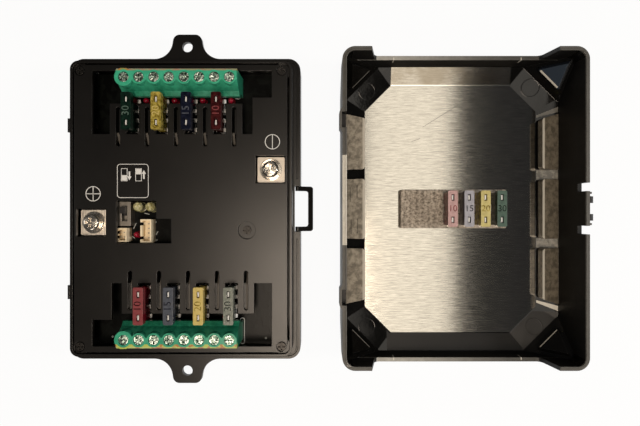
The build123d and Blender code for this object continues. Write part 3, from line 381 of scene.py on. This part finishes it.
# The crown paints the top of a head paler than its body, as a painted highlight
def makeTinted(name, deep, pale, clear, crown=None):  # a crown is the head's height and its paler colour
    finish = Finish(name, Transmission_Weight=clear, IOR=1.49, Specular_IOR_Level=0.5)
    swirl = finish.cloud(520, 3, 0.6)
    tone = finish.mix(swirl.step(0.30, 0.70), deep, pale)
    if crown:
        level, colour = crown
        up = finish.axes()[2]
        tone = finish.mix((up > level - mm(crownBand)) * (swirl * 0.5 + 0.5), tone, colour)
    finish.set("Base Color", tone)
    finish.set("Roughness", 0.10 + swirl * 0.16)
    finish.bump(finish.cloud(620, 3, 0.6), 0.40, 0.00022, 0.0002)
    return finish.material


def makeMetal(name, dark, pale, rough):
    finish = Finish(name, Metallic=1.0)
    wear = finish.cloud(700, 3, 0.6)
    stain = finish.cloud(260, 3)
    finish.set("Base Color", finish.mix(wear * 0.5 + stain * 0.5, dark, pale))
    finish.set("Roughness", rough + wear * 0.10 + stain * 0.06)
    finish.bump(wear, 0.15, 0.00008, 0.0002)
    return finish.material


# Turned nickel: rings round each post and ribs across its plate; the right post is mixed towards a darker
# colour
postLook = {
    "places": [(-47.1, -7.4), (47.1, 20.7)], "ring": 0.55, "rib": 0.85, "plateTop": 18.1,
    "dark": (0.50, 0.45, 0.38), "pale": (0.82, 0.76, 0.68), "rightPostDarker": (0.34, 0.31, 0.27),
}


def makePostNickel():
    finish = Finish("postNickel", Metallic=0.95)
    across, along, up = finish.axes()
    (leftX, leftY), (rightX, rightY) = postLook["places"]
    toLeft = ((across - mm(leftX)) ** 2.0 + (along - mm(leftY)) ** 2.0).root()
    toRight = ((across - mm(rightX)) ** 2.0 + (along - mm(rightY)) ** 2.0).root()
    rings = abs((toLeft.maths("MINIMUM", toLeft, toRight) / mm(postLook["ring"])).fract() - 0.5)
    ribs = abs((across / mm(postLook["rib"])).fract() - 0.5) * (across < 0.0)
    raised = up > mm(postLook["plateTop"])
    wear = finish.cloud(380, 3)
    tone = finish.mix(wear, postLook["dark"], postLook["pale"])
    finish.set("Base Color", finish.mix((across > 0.0) * 0.45, tone, postLook["rightPostDarker"]))
    finish.set("Roughness", 0.36 - raised * 0.24 + wear * 0.14)
    finish.bump(rings * raised + ribs * (1 - raised) * 1.6 + wear * 0.3, 0.45, 0.00018, 0.0003)
    return finish.material


screwLook = {"dark": (0.085, 0.150, 0.115), "pale": (0.66, 0.78, 0.70)}  # green light caught from the blocks


def makeScrewNickel():
    finish = Finish("brightNickel", Metallic=1.0)
    blots = finish.cloud(620, 3, 0.6)
    finish.set("Base Color", finish.mix(blots.step(0.40, 0.58), screwLook["dark"], screwLook["pale"]))
    finish.set("Roughness", 0.20 + blots * 0.16)
    finish.bump(blots + finish.cloud(1400, 2) * 0.4, 0.75, 0.0005, 0.0003)
    return finish.material


boardLook = {"mask": (0.0012, 0.0014, 0.0012), "track": (0.0032, 0.0040, 0.0034)}


def makeLaminate():
    finish = Finish("boardMask", Specular_IOR_Level=0.12)
    tracks = finish.cloud(230, 2, 0.4).step(0.50, 0.54)
    specks = finish.cloud(1100, 2)
    finish.set("Base Color", finish.mix(tracks, boardLook["mask"], boardLook["track"]))
    finish.set("Roughness", 0.24 + specks * 0.16)
    finish.bump(tracks * 0.6 + specks * 0.2, 0.25, 0.00008)
    return finish.material


def makePlain(name, dark, pale, rough, scale=300, shine=0.5):
    finish = Finish(name, Specular_IOR_Level=shine)
    mottle = finish.cloud(scale, 3)
    finish.set("Base Color", finish.mix(mottle, dark, pale))
    finish.set("Roughness", rough + mottle * 0.12)
    finish.bump(mottle + finish.cloud(1700, 1) * 0.5, 0.2, 0.00008, 0.0002)
    return finish.material


fuseTop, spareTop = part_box("fuse_top_1_housing")[1].z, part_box("spare_fuse_1_housing")[1].z
looks = {
    "black_body_plastic": makeBodyBlack(),
    "cover_black": makeCoverBlack(),
    "liner_sheet": makeLiner(),
    "pad_foam": makeFoam(),
    "terminal_green": makeTerminalGreen(),
    "terminal_screw_metal": makeScrewNickel(),
    "post_nickel": makePostNickel(),
    "board_laminate": makeLaminate(),
    "screw_steel": makeMetal("darkZinc", (0.020, 0.019, 0.018), (0.07, 0.066, 0.062), 0.34),
    "cage_metal": makeMetal("tinnedCage", (0.40, 0.37, 0.31), (0.62, 0.58, 0.50), 0.30),
    "switch_shell": makeMetal("switchShell", (0.20, 0.18, 0.155), (0.42, 0.39, 0.345), 0.36),
    "clip_metal": makePlain("tinnedSpring", (0.66, 0.65, 0.62), (0.92, 0.91, 0.88), 0.18, shine=1.0),
    # pale plain finish for the fuse blades, standing in for their glints as painted highlight
    "fuse_metal": makePlain("fuseZincGlint", (0.80, 0.80, 0.78), (0.95, 0.95, 0.93), 0.30),
    "switch_black": makePlain("switchKnobBlack", (0.006, 0.005, 0.005), (0.014, 0.012, 0.011), 0.34),
    "header_ivory": makePlain("headerIvory", (0.80, 0.64, 0.41), (0.95, 0.83, 0.60), 0.40, scale=180),
    "fin_grey": makePlain("finSheenGrey", (0.070, 0.062, 0.052), (0.120, 0.108, 0.092), 0.50),
    "print_white": makePlain("printWhite", (0.66, 0.66, 0.64), (0.80, 0.80, 0.78), 0.55),
    "silk_white": makePlain("boardInkAndGlints", (0.40, 0.42, 0.40), (0.62, 0.64, 0.62), 0.55),
}
# A crown colour is a painted highlight on the top of the head
tints = {  # material name, deep colour, pale colour, how clear, crown
    "lamp_clear": ("lampClear", (0.40, 0.36, 0.13), (0.80, 0.77, 0.48), 0.60),
    "lamp_red": ("lampRed", (0.22, 0.004, 0.016), (0.50, 0.012, 0.045), 0.25),
    "fuse_red": ("fuseRed", (0.16, 0.006, 0.014), (0.32, 0.025, 0.038), 0.35, (fuseTop, (0.36, 0.10, 0.105))),
    # The dark red, navy, gold and dark green are darker copies of the red, grey blue, yellow and green, as
    # painted shade on the top row
    "fuse_dark_red": ("fuseRedShaded", (0.024, 0.002, 0.003), (0.080, 0.009, 0.009), 0.30),
    "fuse_grey_blue": (
        "fuseGreyBlue", (0.034, 0.040, 0.058), (0.090, 0.102, 0.130), 0.30, (fuseTop, (0.120, 0.132, 0.160)),
    ),
    "fuse_navy": ("fuseBlueShaded", (0.003, 0.004, 0.012), (0.010, 0.013, 0.032), 0.25),
    "fuse_yellow": (
        "fuseYellow", (0.60, 0.42, 0.05), (0.84, 0.68, 0.20), 0.35, (fuseTop, (0.84, 0.68, 0.25)),
    ),
    "fuse_gold": ("fuseYellowShaded", (0.18, 0.12, 0.004), (0.72, 0.58, 0.13), 0.35),
    "fuse_green": (
        "fuseGreen", (0.100, 0.125, 0.095), (0.215, 0.240, 0.195), 0.30, (fuseTop, (0.24, 0.26, 0.22)),
    ),
    "fuse_dark_green": ("fuseGreenShaded", (0.0012, 0.008, 0.005), (0.006, 0.026, 0.016), 0.25),
    "spare_pink": (
        "sparePink", (0.10, 0.008, 0.012), (0.26, 0.035, 0.045), 0.35, (spareTop, (0.84, 0.56, 0.54)),
    ),
    "spare_lilac": (
        "spareLilac", (0.012, 0.010, 0.014), (0.16, 0.15, 0.19), 0.25, (spareTop, (0.56, 0.56, 0.62)),
    ),
    "spare_yellow": (
        "spareYellow", (0.20, 0.14, 0.015), (0.62, 0.50, 0.12), 0.35, (spareTop, (0.88, 0.78, 0.34)),
    ),
    "spare_green": (
        "spareGreen", (0.004, 0.016, 0.010), (0.045, 0.085, 0.060), 0.25, (spareTop, (0.13, 0.20, 0.165)),
    ),
}
looks.update({name: makeTinted(*values) for name, values in tints.items()})
slotOf = {entry["node"]: entry["material_slot"] for entry in frame["record"]["subparts"]}
finishOf = {
    **slotOf, "slide_switch_frame": "switch_shell",
    # Two heads of the top row take the darker copies, as painted shade
    "fuse_top_1_housing": "fuse_dark_red", "fuse_top_3_housing": "fuse_gold",
    "spare_fuse_1_housing": "spare_pink", "spare_fuse_2_housing": "spare_lilac",
    "spare_fuse_3_housing": "spare_yellow", "spare_fuse_4_housing": "spare_green",
}
for name, thing in nodes.items():
    thing.data.materials.clear()
    thing.data.materials.append(looks[finishOf[name]])
print("finishes:", len(looks))


def finishPiece(shape, name, body, look, smooth=False):  # turns a bmesh into a riding piece
    bmesh.ops.recalc_face_normals(shape, faces=shape.faces)
    mesh = bpy.data.meshes.new(name)
    shape.to_mesh(mesh)
    shape.free()
    mesh.materials.append(looks[look])
    for face in mesh.polygons:
        face.use_smooth = smooth
    thing = bpy.data.objects.new(name, mesh)
    bpy.context.scene.collection.objects.link(thing)
    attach(thing, body)
    return thing


def addBar(shape, x, y, z, width, length, height, turn=0.0):
    sized = Matrix.Diagonal((mm(width), mm(length), mm(height), 1))
    at = Matrix.Translation((mm(x), mm(y), mm(z + height / 2)))
    bmesh.ops.create_cube(shape, size=1, matrix=at @ Matrix.Rotation(turn, 4, "Z") @ sized)


def raiseFaces(shape, faces, height):
    lifted = bmesh.ops.extrude_face_region(shape, geom=faces)
    top = [part for part in lifted["geom"] if isinstance(part, bmesh.types.BMVert)]
    bmesh.ops.translate(shape, verts=top, vec=(0, 0, mm(height)))


def addRing(shape, x, y, z, outer, width, height, segments=56):
    at = Vector((mm(x), mm(y), mm(z)))
    made = bmesh.ops.create_circle(
        shape, cap_ends=False, radius=mm(outer), segments=segments, matrix=Matrix.Translation(at)
    )
    rim = list({edge for vert in made["verts"] for edge in vert.link_edges})
    grown = bmesh.ops.extrude_edge_only(shape, edges=rim)["geom"]
    inner = [part for part in grown if isinstance(part, bmesh.types.BMVert)]
    share = (outer - width) / outer
    bmesh.ops.scale(shape, vec=(share, share, 1), space=Matrix.Translation(-at), verts=inner)
    raiseFaces(shape, [part for part in grown if isinstance(part, bmesh.types.BMFace)], height)


def addFrame(shape, x, y, z, width, length, line, corner, height):
    at = Matrix.Translation((mm(x), mm(y), mm(z))) @ Matrix.Diagonal((mm(width), mm(length), 1, 1))
    made = bmesh.ops.create_grid(shape, x_segments=1, y_segments=1, size=0.5, matrix=at)
    face = made["verts"][0].link_faces[0]
    if corner:
        cut = bmesh.ops.bevel(
            shape, geom=made["verts"], offset=mm(corner), affect="VERTICES",
            segments=5, profile=0.5, material=-1,
        )
        near = cut["faces"] + list({f for v in cut["verts"] for f in v.link_faces})
        face = max(near, key=lambda f: f.calc_area())
    ring = bmesh.ops.inset_region(
        shape, faces=[face], thickness=mm(line), use_even_offset=True, use_boundary=True
    )["faces"]
    bmesh.ops.delete(shape, geom=[face], context="FACES_ONLY")
    raiseFaces(shape, ring, height)


# White signs printed on the plate
signLook = {"top": 22.0, "ink": 0.05, "plus": (-45.95, 7.8, 3.98), "minus": (48.2, 35.1, 3.98), "line": 0.40}


def makeSigns():
    level, ink, line = signLook["top"], signLook["ink"], signLook["line"]
    signs = bmesh.new()
    for x, y, radius in (signLook["plus"], signLook["minus"]):
        addRing(signs, x, y, level, radius, line, ink)
        addBar(signs, x, y, level, line, 2 * (radius - line), ink)
    x, y, radius = signLook["plus"]
    addBar(signs, x, y, level, 2 * (radius - line), line, ink)
    finishPiece(signs, "polaritySigns", "base", "print_white")


# Sign that shows the switch's two settings: an icon's filled half and its arrow show which way it slides
switchSignLook = {
    "middle": (-25.1, 14.55), "size": (16.6, 17.9), "corner": 1.7, "line": 0.34,
    "icons": [(-29.6, -1, -26.9), (-22.1, 1, -19.3)],  # across, filled half, the arrow's place across
    "icon": (3.4, 6.8), "iconAlong": 17.8, "gap": 0.4,
    "arrowAlong": 17.6, "shaft": (0.85, 2.6), "shaftOff": 0.7, "headOff": 1.3, "head": 1.35,
}


def makeSwitchSign():
    look = switchSignLook
    level, ink, line, gap = signLook["top"], signLook["ink"], look["line"], look["gap"]
    iconWidth, iconLength = look["icon"]
    shaftWidth, shaftLength = look["shaft"]
    sign = bmesh.new()
    addFrame(sign, *look["middle"], level, *look["size"], line, look["corner"], ink)
    for iconX, filled, arrowX in look["icons"]:
        addFrame(sign, iconX, look["iconAlong"], level, iconWidth, iconLength, line, 0, ink)
        fillY = look["iconAlong"] + filled * iconLength / 4
        addBar(sign, iconX, fillY, level, iconWidth - 2 * gap, iconLength / 2 - gap, ink)
        shaftY = look["arrowAlong"] - filled * look["shaftOff"]
        headY = look["arrowAlong"] + filled * look["headOff"]
        addBar(sign, arrowX, shaftY, level, shaftWidth, shaftLength, ink)
        tip = Matrix.Translation((mm(arrowX), mm(headY), mm(level)))
        turned = Matrix.Rotation(0 if filled > 0 else math.pi, 4, "Z")
        head = bmesh.ops.create_circle(
            sign, cap_ends=True, radius=mm(look["head"]), segments=3, matrix=tip @ turned
        )
        raiseFaces(sign, list({f for v in head["verts"] for f in v.link_faces}), ink)
    finishPiece(sign, "switchSign", "base", "print_white")


# Silkscreen and painted glints on the board: one outline, and dots and dashes beside the terminals, the
# headers and the clips; most dashes and the last two dots are painted glints, the outline and the other dots
# are print
silkAndGlintLook = {
    "top": 11.6, "ink": 0.05,
    "frames": [(30.7, -66.8, 2.7, 14.4, 0.45, 1.1)],  # across, along, width, length, line, corner
    "dots": [
        (-48.6, 74.4), (-47.6, 76.0), (-50.2, 75.4), (43.6, -70.8), (-40.4, -70.0), (-16.9, -7.2),
        (-16.4, -17.1),
    ],
    "dot": (0.55, 0.3), "dotSides": 16,  # outer radius and line
    "dashes": [  # across, along, length, turn
        (-28.2, -9.4, 3.4, -0.45), (-28.9, -15.6, 2.0, 0.9), (-16.1, -13.3, 2.2, -0.5),
        (-21.6, -2.7, 2.8, 1.35), (29.7, -56.0, 1.3, 0.8), (35.0, 75.1, 3.0, 1.57),
        (44.3, 75.1, 1.4, 1.57), (29.6, 61.4, 2.0, -0.5), (27.9, 60.2, 2.0, 1.5),
    ],
    "dashWidth": 0.4,
}


def makeSilkAndGlints():
    level, ink = silkAndGlintLook["top"], silkAndGlintLook["ink"]
    silk = bmesh.new()
    for x, y, width, length, line, corner in silkAndGlintLook["frames"]:
        addFrame(silk, x, y, level, width, length, line, corner, ink)
    for x, y in silkAndGlintLook["dots"]:
        addRing(silk, x, y, level, *silkAndGlintLook["dot"], ink, silkAndGlintLook["dotSides"])
    for x, y, length, turn in silkAndGlintLook["dashes"]:
        addBar(silk, x, y, level, silkAndGlintLook["dashWidth"], length, ink, turn)
    finishPiece(silk, "boardPrintAndGlints", "base", "silk_white")


# Tab of the liner that turns up the slope at the cover's far end
tabLook = {
    "half": 33.7, "start": 69.85, "end": 79.7, "slopeStart": 70.05, "floor": 2.2, "rise": 13.0, "thick": 0.4,
}


def makeTab():
    slope = math.radians(tabLook["rise"])
    run = (tabLook["end"] - tabLook["start"]) / math.cos(slope)
    middleY = (tabLook["start"] + tabLook["end"]) / 2
    middleZ = tabLook["floor"] + (middleY - tabLook["slopeStart"]) * math.tan(slope) + tabLook["thick"]
    at = Matrix.Translation((mm(coverLook["middle"]), mm(middleY), mm(middleZ)))
    sized = Matrix.Diagonal((mm(2 * tabLook["half"]), mm(run), mm(tabLook["thick"]), 1))
    tab = bmesh.new()
    bmesh.ops.create_cube(tab, size=1, matrix=at @ Matrix.Rotation(slope, 4, "X") @ sized)
    finishPiece(tab, "linerTab", "cover", "liner_sheet")


# Sloped fins at the inner ends of the plate's slots, and walls in the lower slots, grey as painted reflection
# on the black moulding
finLook = {
    "places": [-32.88, -17.64, -2.4, 12.84, 28.08], "middle": 0.7, "off": -0.6, "wide": 1.25, "thick": 1.2,
    "outer": (40.1, 20.2), "inner": (34.4, 16.8),  # along and height of a fin's two ends
    "wall": {"from": -53.0, "to": -39.1, "low": 14.0, "high": 20.4, "wide": 1.5},
}


def makeFins():
    look, wall = finLook, finLook["wall"]
    (outerY, outerZ), (innerY, innerZ) = look["outer"], look["inner"]
    slope = math.atan2(outerZ - innerZ, outerY - innerY)
    run = math.hypot(outerZ - innerZ, outerY - innerY)
    fins = bmesh.new()
    sized = Matrix.Diagonal((mm(look["wide"]), mm(run), mm(look["thick"]), 1))
    turned = Matrix.Rotation(slope, 4, "X") @ sized
    for place in look["places"]:
        middle = (mm(place + look["off"]), mm((outerY + innerY) / 2), mm((outerZ + innerZ) / 2))
        bmesh.ops.create_cube(fins, size=1, matrix=Matrix.Translation(middle) @ turned)
    half = Matrix.Translation((mm(2 * look["middle"]), 0, 0)) @ Matrix.Rotation(math.pi, 4, "Z")
    copied = bmesh.ops.duplicate(fins, geom=fins.verts[:] + fins.edges[:] + fins.faces[:])["geom"]
    moved = [part for part in copied if isinstance(part, bmesh.types.BMVert)]
    bmesh.ops.transform(fins, matrix=half, verts=moved)
    wallY, wallLength = (wall["from"] + wall["to"]) / 2, wall["to"] - wall["from"]
    for place in look["places"]:
        wallX = 2 * look["middle"] - place
        addBar(fins, wallX, wallY, wall["low"], wall["wide"], wallLength, wall["high"] - wall["low"])
    finishPiece(fins, "slotFins", "base", "fin_grey")


makeSigns()
makeSwitchSign()
makeSilkAndGlints()
makeTab()
makeFins()
print("prints done")

# Ratings moulded on the fuse heads, each in another copy of its head colour: paler on the top row as painted
# highlight, darker on the bottom row and the spares as painted shade
ratingLook = {"height": 5.3, "spareHeight": 4.7, "relief": 0.15, "sink": 0.05}
ratings = {  # number and finish
    "fuse_top_1": ("10", "fuse_red"), "fuse_top_2": ("15", "fuse_grey_blue"),
    "fuse_top_3": ("20", "fuse_yellow"), "fuse_top_4": ("30", "spare_green"),
    "fuse_bottom_1": ("10", "fuse_dark_red"), "fuse_bottom_2": ("15", "fuse_navy"),
    "fuse_bottom_3": ("20", "fuse_gold"), "fuse_bottom_4": ("30", "fuse_dark_green"),
    "spare_fuse_1": ("10", "fuse_red"), "spare_fuse_2": ("15", "fuse_navy"),
    "spare_fuse_3": ("20", "fuse_gold"), "spare_fuse_4": ("30", "fuse_dark_green"),
}


def makeRating(fuse, number, look):
    low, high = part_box(f"{fuse}_housing")
    upright = fuse.startswith("spare")
    words = bpy.data.curves.new(f"{fuse}_words", "FONT")
    words.body = number
    words.size = mm(ratingLook["spareHeight" if upright else "height"])
    words.extrude = mm(ratingLook["relief"]) / 2
    words.align_x, words.align_y = "CENTER", "CENTER"
    words.resolution_u = 3
    holder = bpy.data.objects.new(f"{fuse}_words", words)
    bpy.context.scene.collection.objects.link(holder)
    bpy.context.view_layer.update()
    flat = bpy.data.meshes.new_from_object(holder.evaluated_get(bpy.context.evaluated_depsgraph_get()))
    bpy.data.objects.remove(holder)
    middle = (low + high) / 2
    level = high.z - mm(ratingLook["sink"]) + mm(ratingLook["relief"]) / 2
    turn = Matrix.Rotation(0 if upright else math.pi / 2, 4, "Z")
    flat.transform(Matrix.Translation((middle.x, middle.y, level)) @ turn)
    shape = bmesh.new()
    shape.from_mesh(flat)
    bmesh.ops.remove_doubles(shape, verts=shape.verts, dist=1e-7)
    finishPiece(shape, f"{fuse}_rating", fuse, look)


for fuse, (number, look) in ratings.items():
    makeRating(fuse, number, look)
print("ratings done")

# Foam pad, soft at its edges and trimmed at its left end
padLook = {"soften": 0.9, "cuts": 18, "swell": 0.12, "lumps": 260, "skin": 0.05, "trim": 1.2}


def makePad():
    low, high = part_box("spare_fuse_pad")
    low = low + Vector((mm(padLook["trim"]), 0, 0))
    size, middle = high - low, (low + high) / 2
    pad = bmesh.new()
    sized = Matrix.Translation(middle) @ Matrix.Diagonal((*size, 1))
    bmesh.ops.create_cube(pad, size=1, matrix=sized)
    bmesh.ops.bevel(
        pad, geom=[e for e in pad.edges if max(v.co.z for v in e.verts) > middle.z],
        offset=mm(padLook["soften"]), affect="EDGES", segments=4, profile=0.5, material=-1,
    )
    bmesh.ops.subdivide_edges(pad, edges=pad.edges, cuts=padLook["cuts"], use_grid_fill=True)
    for vert in pad.verts:
        lift = noise.noise(vert.co * padLook["lumps"]) * mm(padLook["swell"])
        if vert.co.z > high.z - mm(padLook["skin"]):
            vert.co.z += lift - mm(padLook["swell"])
    thing = finishPiece(pad, "foamPad", "cover", "pad_foam", smooth=True)
    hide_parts("spare_fuse_pad")


makePad()

# Reflector cups seen through the two clear lamps
cupLook = {"places": [(-24.2, 1.0), (-17.6, 1.0)], "base": 13.4, "height": 2.6, "low": 0.7, "high": 1.6}


def makeCups():
    cups = bmesh.new()
    for x, y in cupLook["places"]:
        at = Matrix.Translation((mm(x), mm(y), mm(cupLook["base"] + cupLook["height"] / 2)))
        bmesh.ops.create_cone(
            cups, cap_ends=True, segments=24, radius1=mm(cupLook["low"]), radius2=mm(cupLook["high"]),
            depth=mm(cupLook["height"]), matrix=at,
        )
    finishPiece(cups, "lampCups", "base", "clip_metal")


makeCups()
print("soft and small pieces done")

# Floor, lamps and camera
floorLook = {  # in metres
    "size": 3.0, "place": (0.07, 0, -0.0002), "white": 0.88, "glow": (1.0, 0.999, 0.995), "share": 0.93,
}


def makeFloor():
    shape = bmesh.new()
    bmesh.ops.create_grid(shape, x_segments=1, y_segments=1, size=floorLook["size"] / 2)
    mesh = bpy.data.meshes.new("floor")
    shape.to_mesh(mesh)
    shape.free()
    floor = bpy.data.objects.new("floor", mesh)
    floor.location = floorLook["place"]
    bpy.context.scene.collection.objects.link(floor)
    sheet = Finish("floorWhite", Roughness=0.9)
    sheet.set("Base Color", (floorLook["white"],) * 3)
    seen = sheet.node("ShaderNodeLightPath", {}, {}).socket.node.outputs
    shown = Wire(sheet, seen["Is Camera Ray"]) + Wire(sheet, seen["Is Glossy Ray"])
    shown = shown + Wire(sheet, seen["Is Transmission Ray"])
    glow = sheet.node("ShaderNodeEmission", {}, {"Color": floorLook["glow"], "Strength": 1.0})
    lit = Wire(sheet, sheet.shader.outputs[0])
    blend = sheet.node("ShaderNodeMixShader", {}, {0: shown * floorLook["share"], 1: lit, 2: glow})
    sheet.tree.links.new(blend.socket, sheet.tree.nodes["Material Output"].inputs["Surface"])
    mesh.materials.append(sheet.material)


lamps = {  # place, aimed at, width, length, watts, colour
    "softboxAbove": ((0.315, -0.09, 1.0), (0.315, -0.09, 0.0), 0.25, 1.02, 1.5, (1.0, 0.93, 0.82)),
    "softboxKey": ((0.045, -0.26, 1.0), (0.045, -0.26, 0.0), 0.24, 0.50, 5.5, (1.0, 0.84, 0.68)),
    "softboxLeft": ((-1.05, 0.05, 0.55), (0.08, 0.0, 0.0), 0.34, 1.10, 0.9, (1.0, 0.95, 0.88)),
    "softboxFront": ((-0.15, -1.05, 0.62), (0.04, 0.0, 0.0), 0.60, 0.40, 2.2, (1.0, 0.94, 0.87)),
    "softboxRight": ((1.10, -0.02, 0.62), (0.14, 0.0, 0.0), 0.20, 0.30, 6.0, (1.0, 0.97, 0.93)),
    "softboxBack": ((0.05, 1.15, 0.60), (0.07, 0.0, 0.0), 1.20, 0.35, 0.4, (1.0, 0.98, 0.95)),
}


def makeLamps():
    for name, (place, aim, width, length, watts, colour) in lamps.items():
        lamp = bpy.data.lights.new(name, "AREA")
        lamp.shape = "RECTANGLE"
        lamp.size, lamp.size_y = width, length
        lamp.energy, lamp.color = watts, colour
        holder = bpy.data.objects.new(name, lamp)
        holder.location = place
        holder.rotation_euler = (Vector(aim) - Vector(place)).to_track_quat("-Z", "Y").to_euler()
        bpy.context.scene.collection.objects.link(holder)


cameraLook = {  # place in metres, focal length and frame in pixels, sensor in millimetres
    "place": (0.0732, -0.0023, 0.262), "focal": 457, "frame": 640, "sensor": 36.0, "nearest": 0.01,
}


def makeCamera():
    view = bpy.data.cameras.new("camera")
    view.sensor_width = cameraLook["sensor"]
    view.lens = cameraLook["focal"] / cameraLook["frame"] * cameraLook["sensor"]
    view.clip_start = cameraLook["nearest"]
    holder = bpy.data.objects.new("camera", view)
    holder.location = cameraLook["place"]
    bpy.context.scene.collection.objects.link(holder)
    bpy.context.scene.camera = holder


worldLook = {"colour": (0.90, 0.93, 1.0, 1.0), "strength": 0.04}


def makeWorld():
    world = bpy.data.worlds.new("studio")
    world.use_nodes = True
    background = world.node_tree.nodes["Background"]
    background.inputs["Color"].default_value = worldLook["colour"]
    background.inputs["Strength"].default_value = worldLook["strength"]
    bpy.context.scene.world = world


makeFloor()
makeLamps()
makeCamera()
makeWorld()
bpy.context.scene.view_settings.view_transform = "Standard"
print("stage, lamps and camera done")
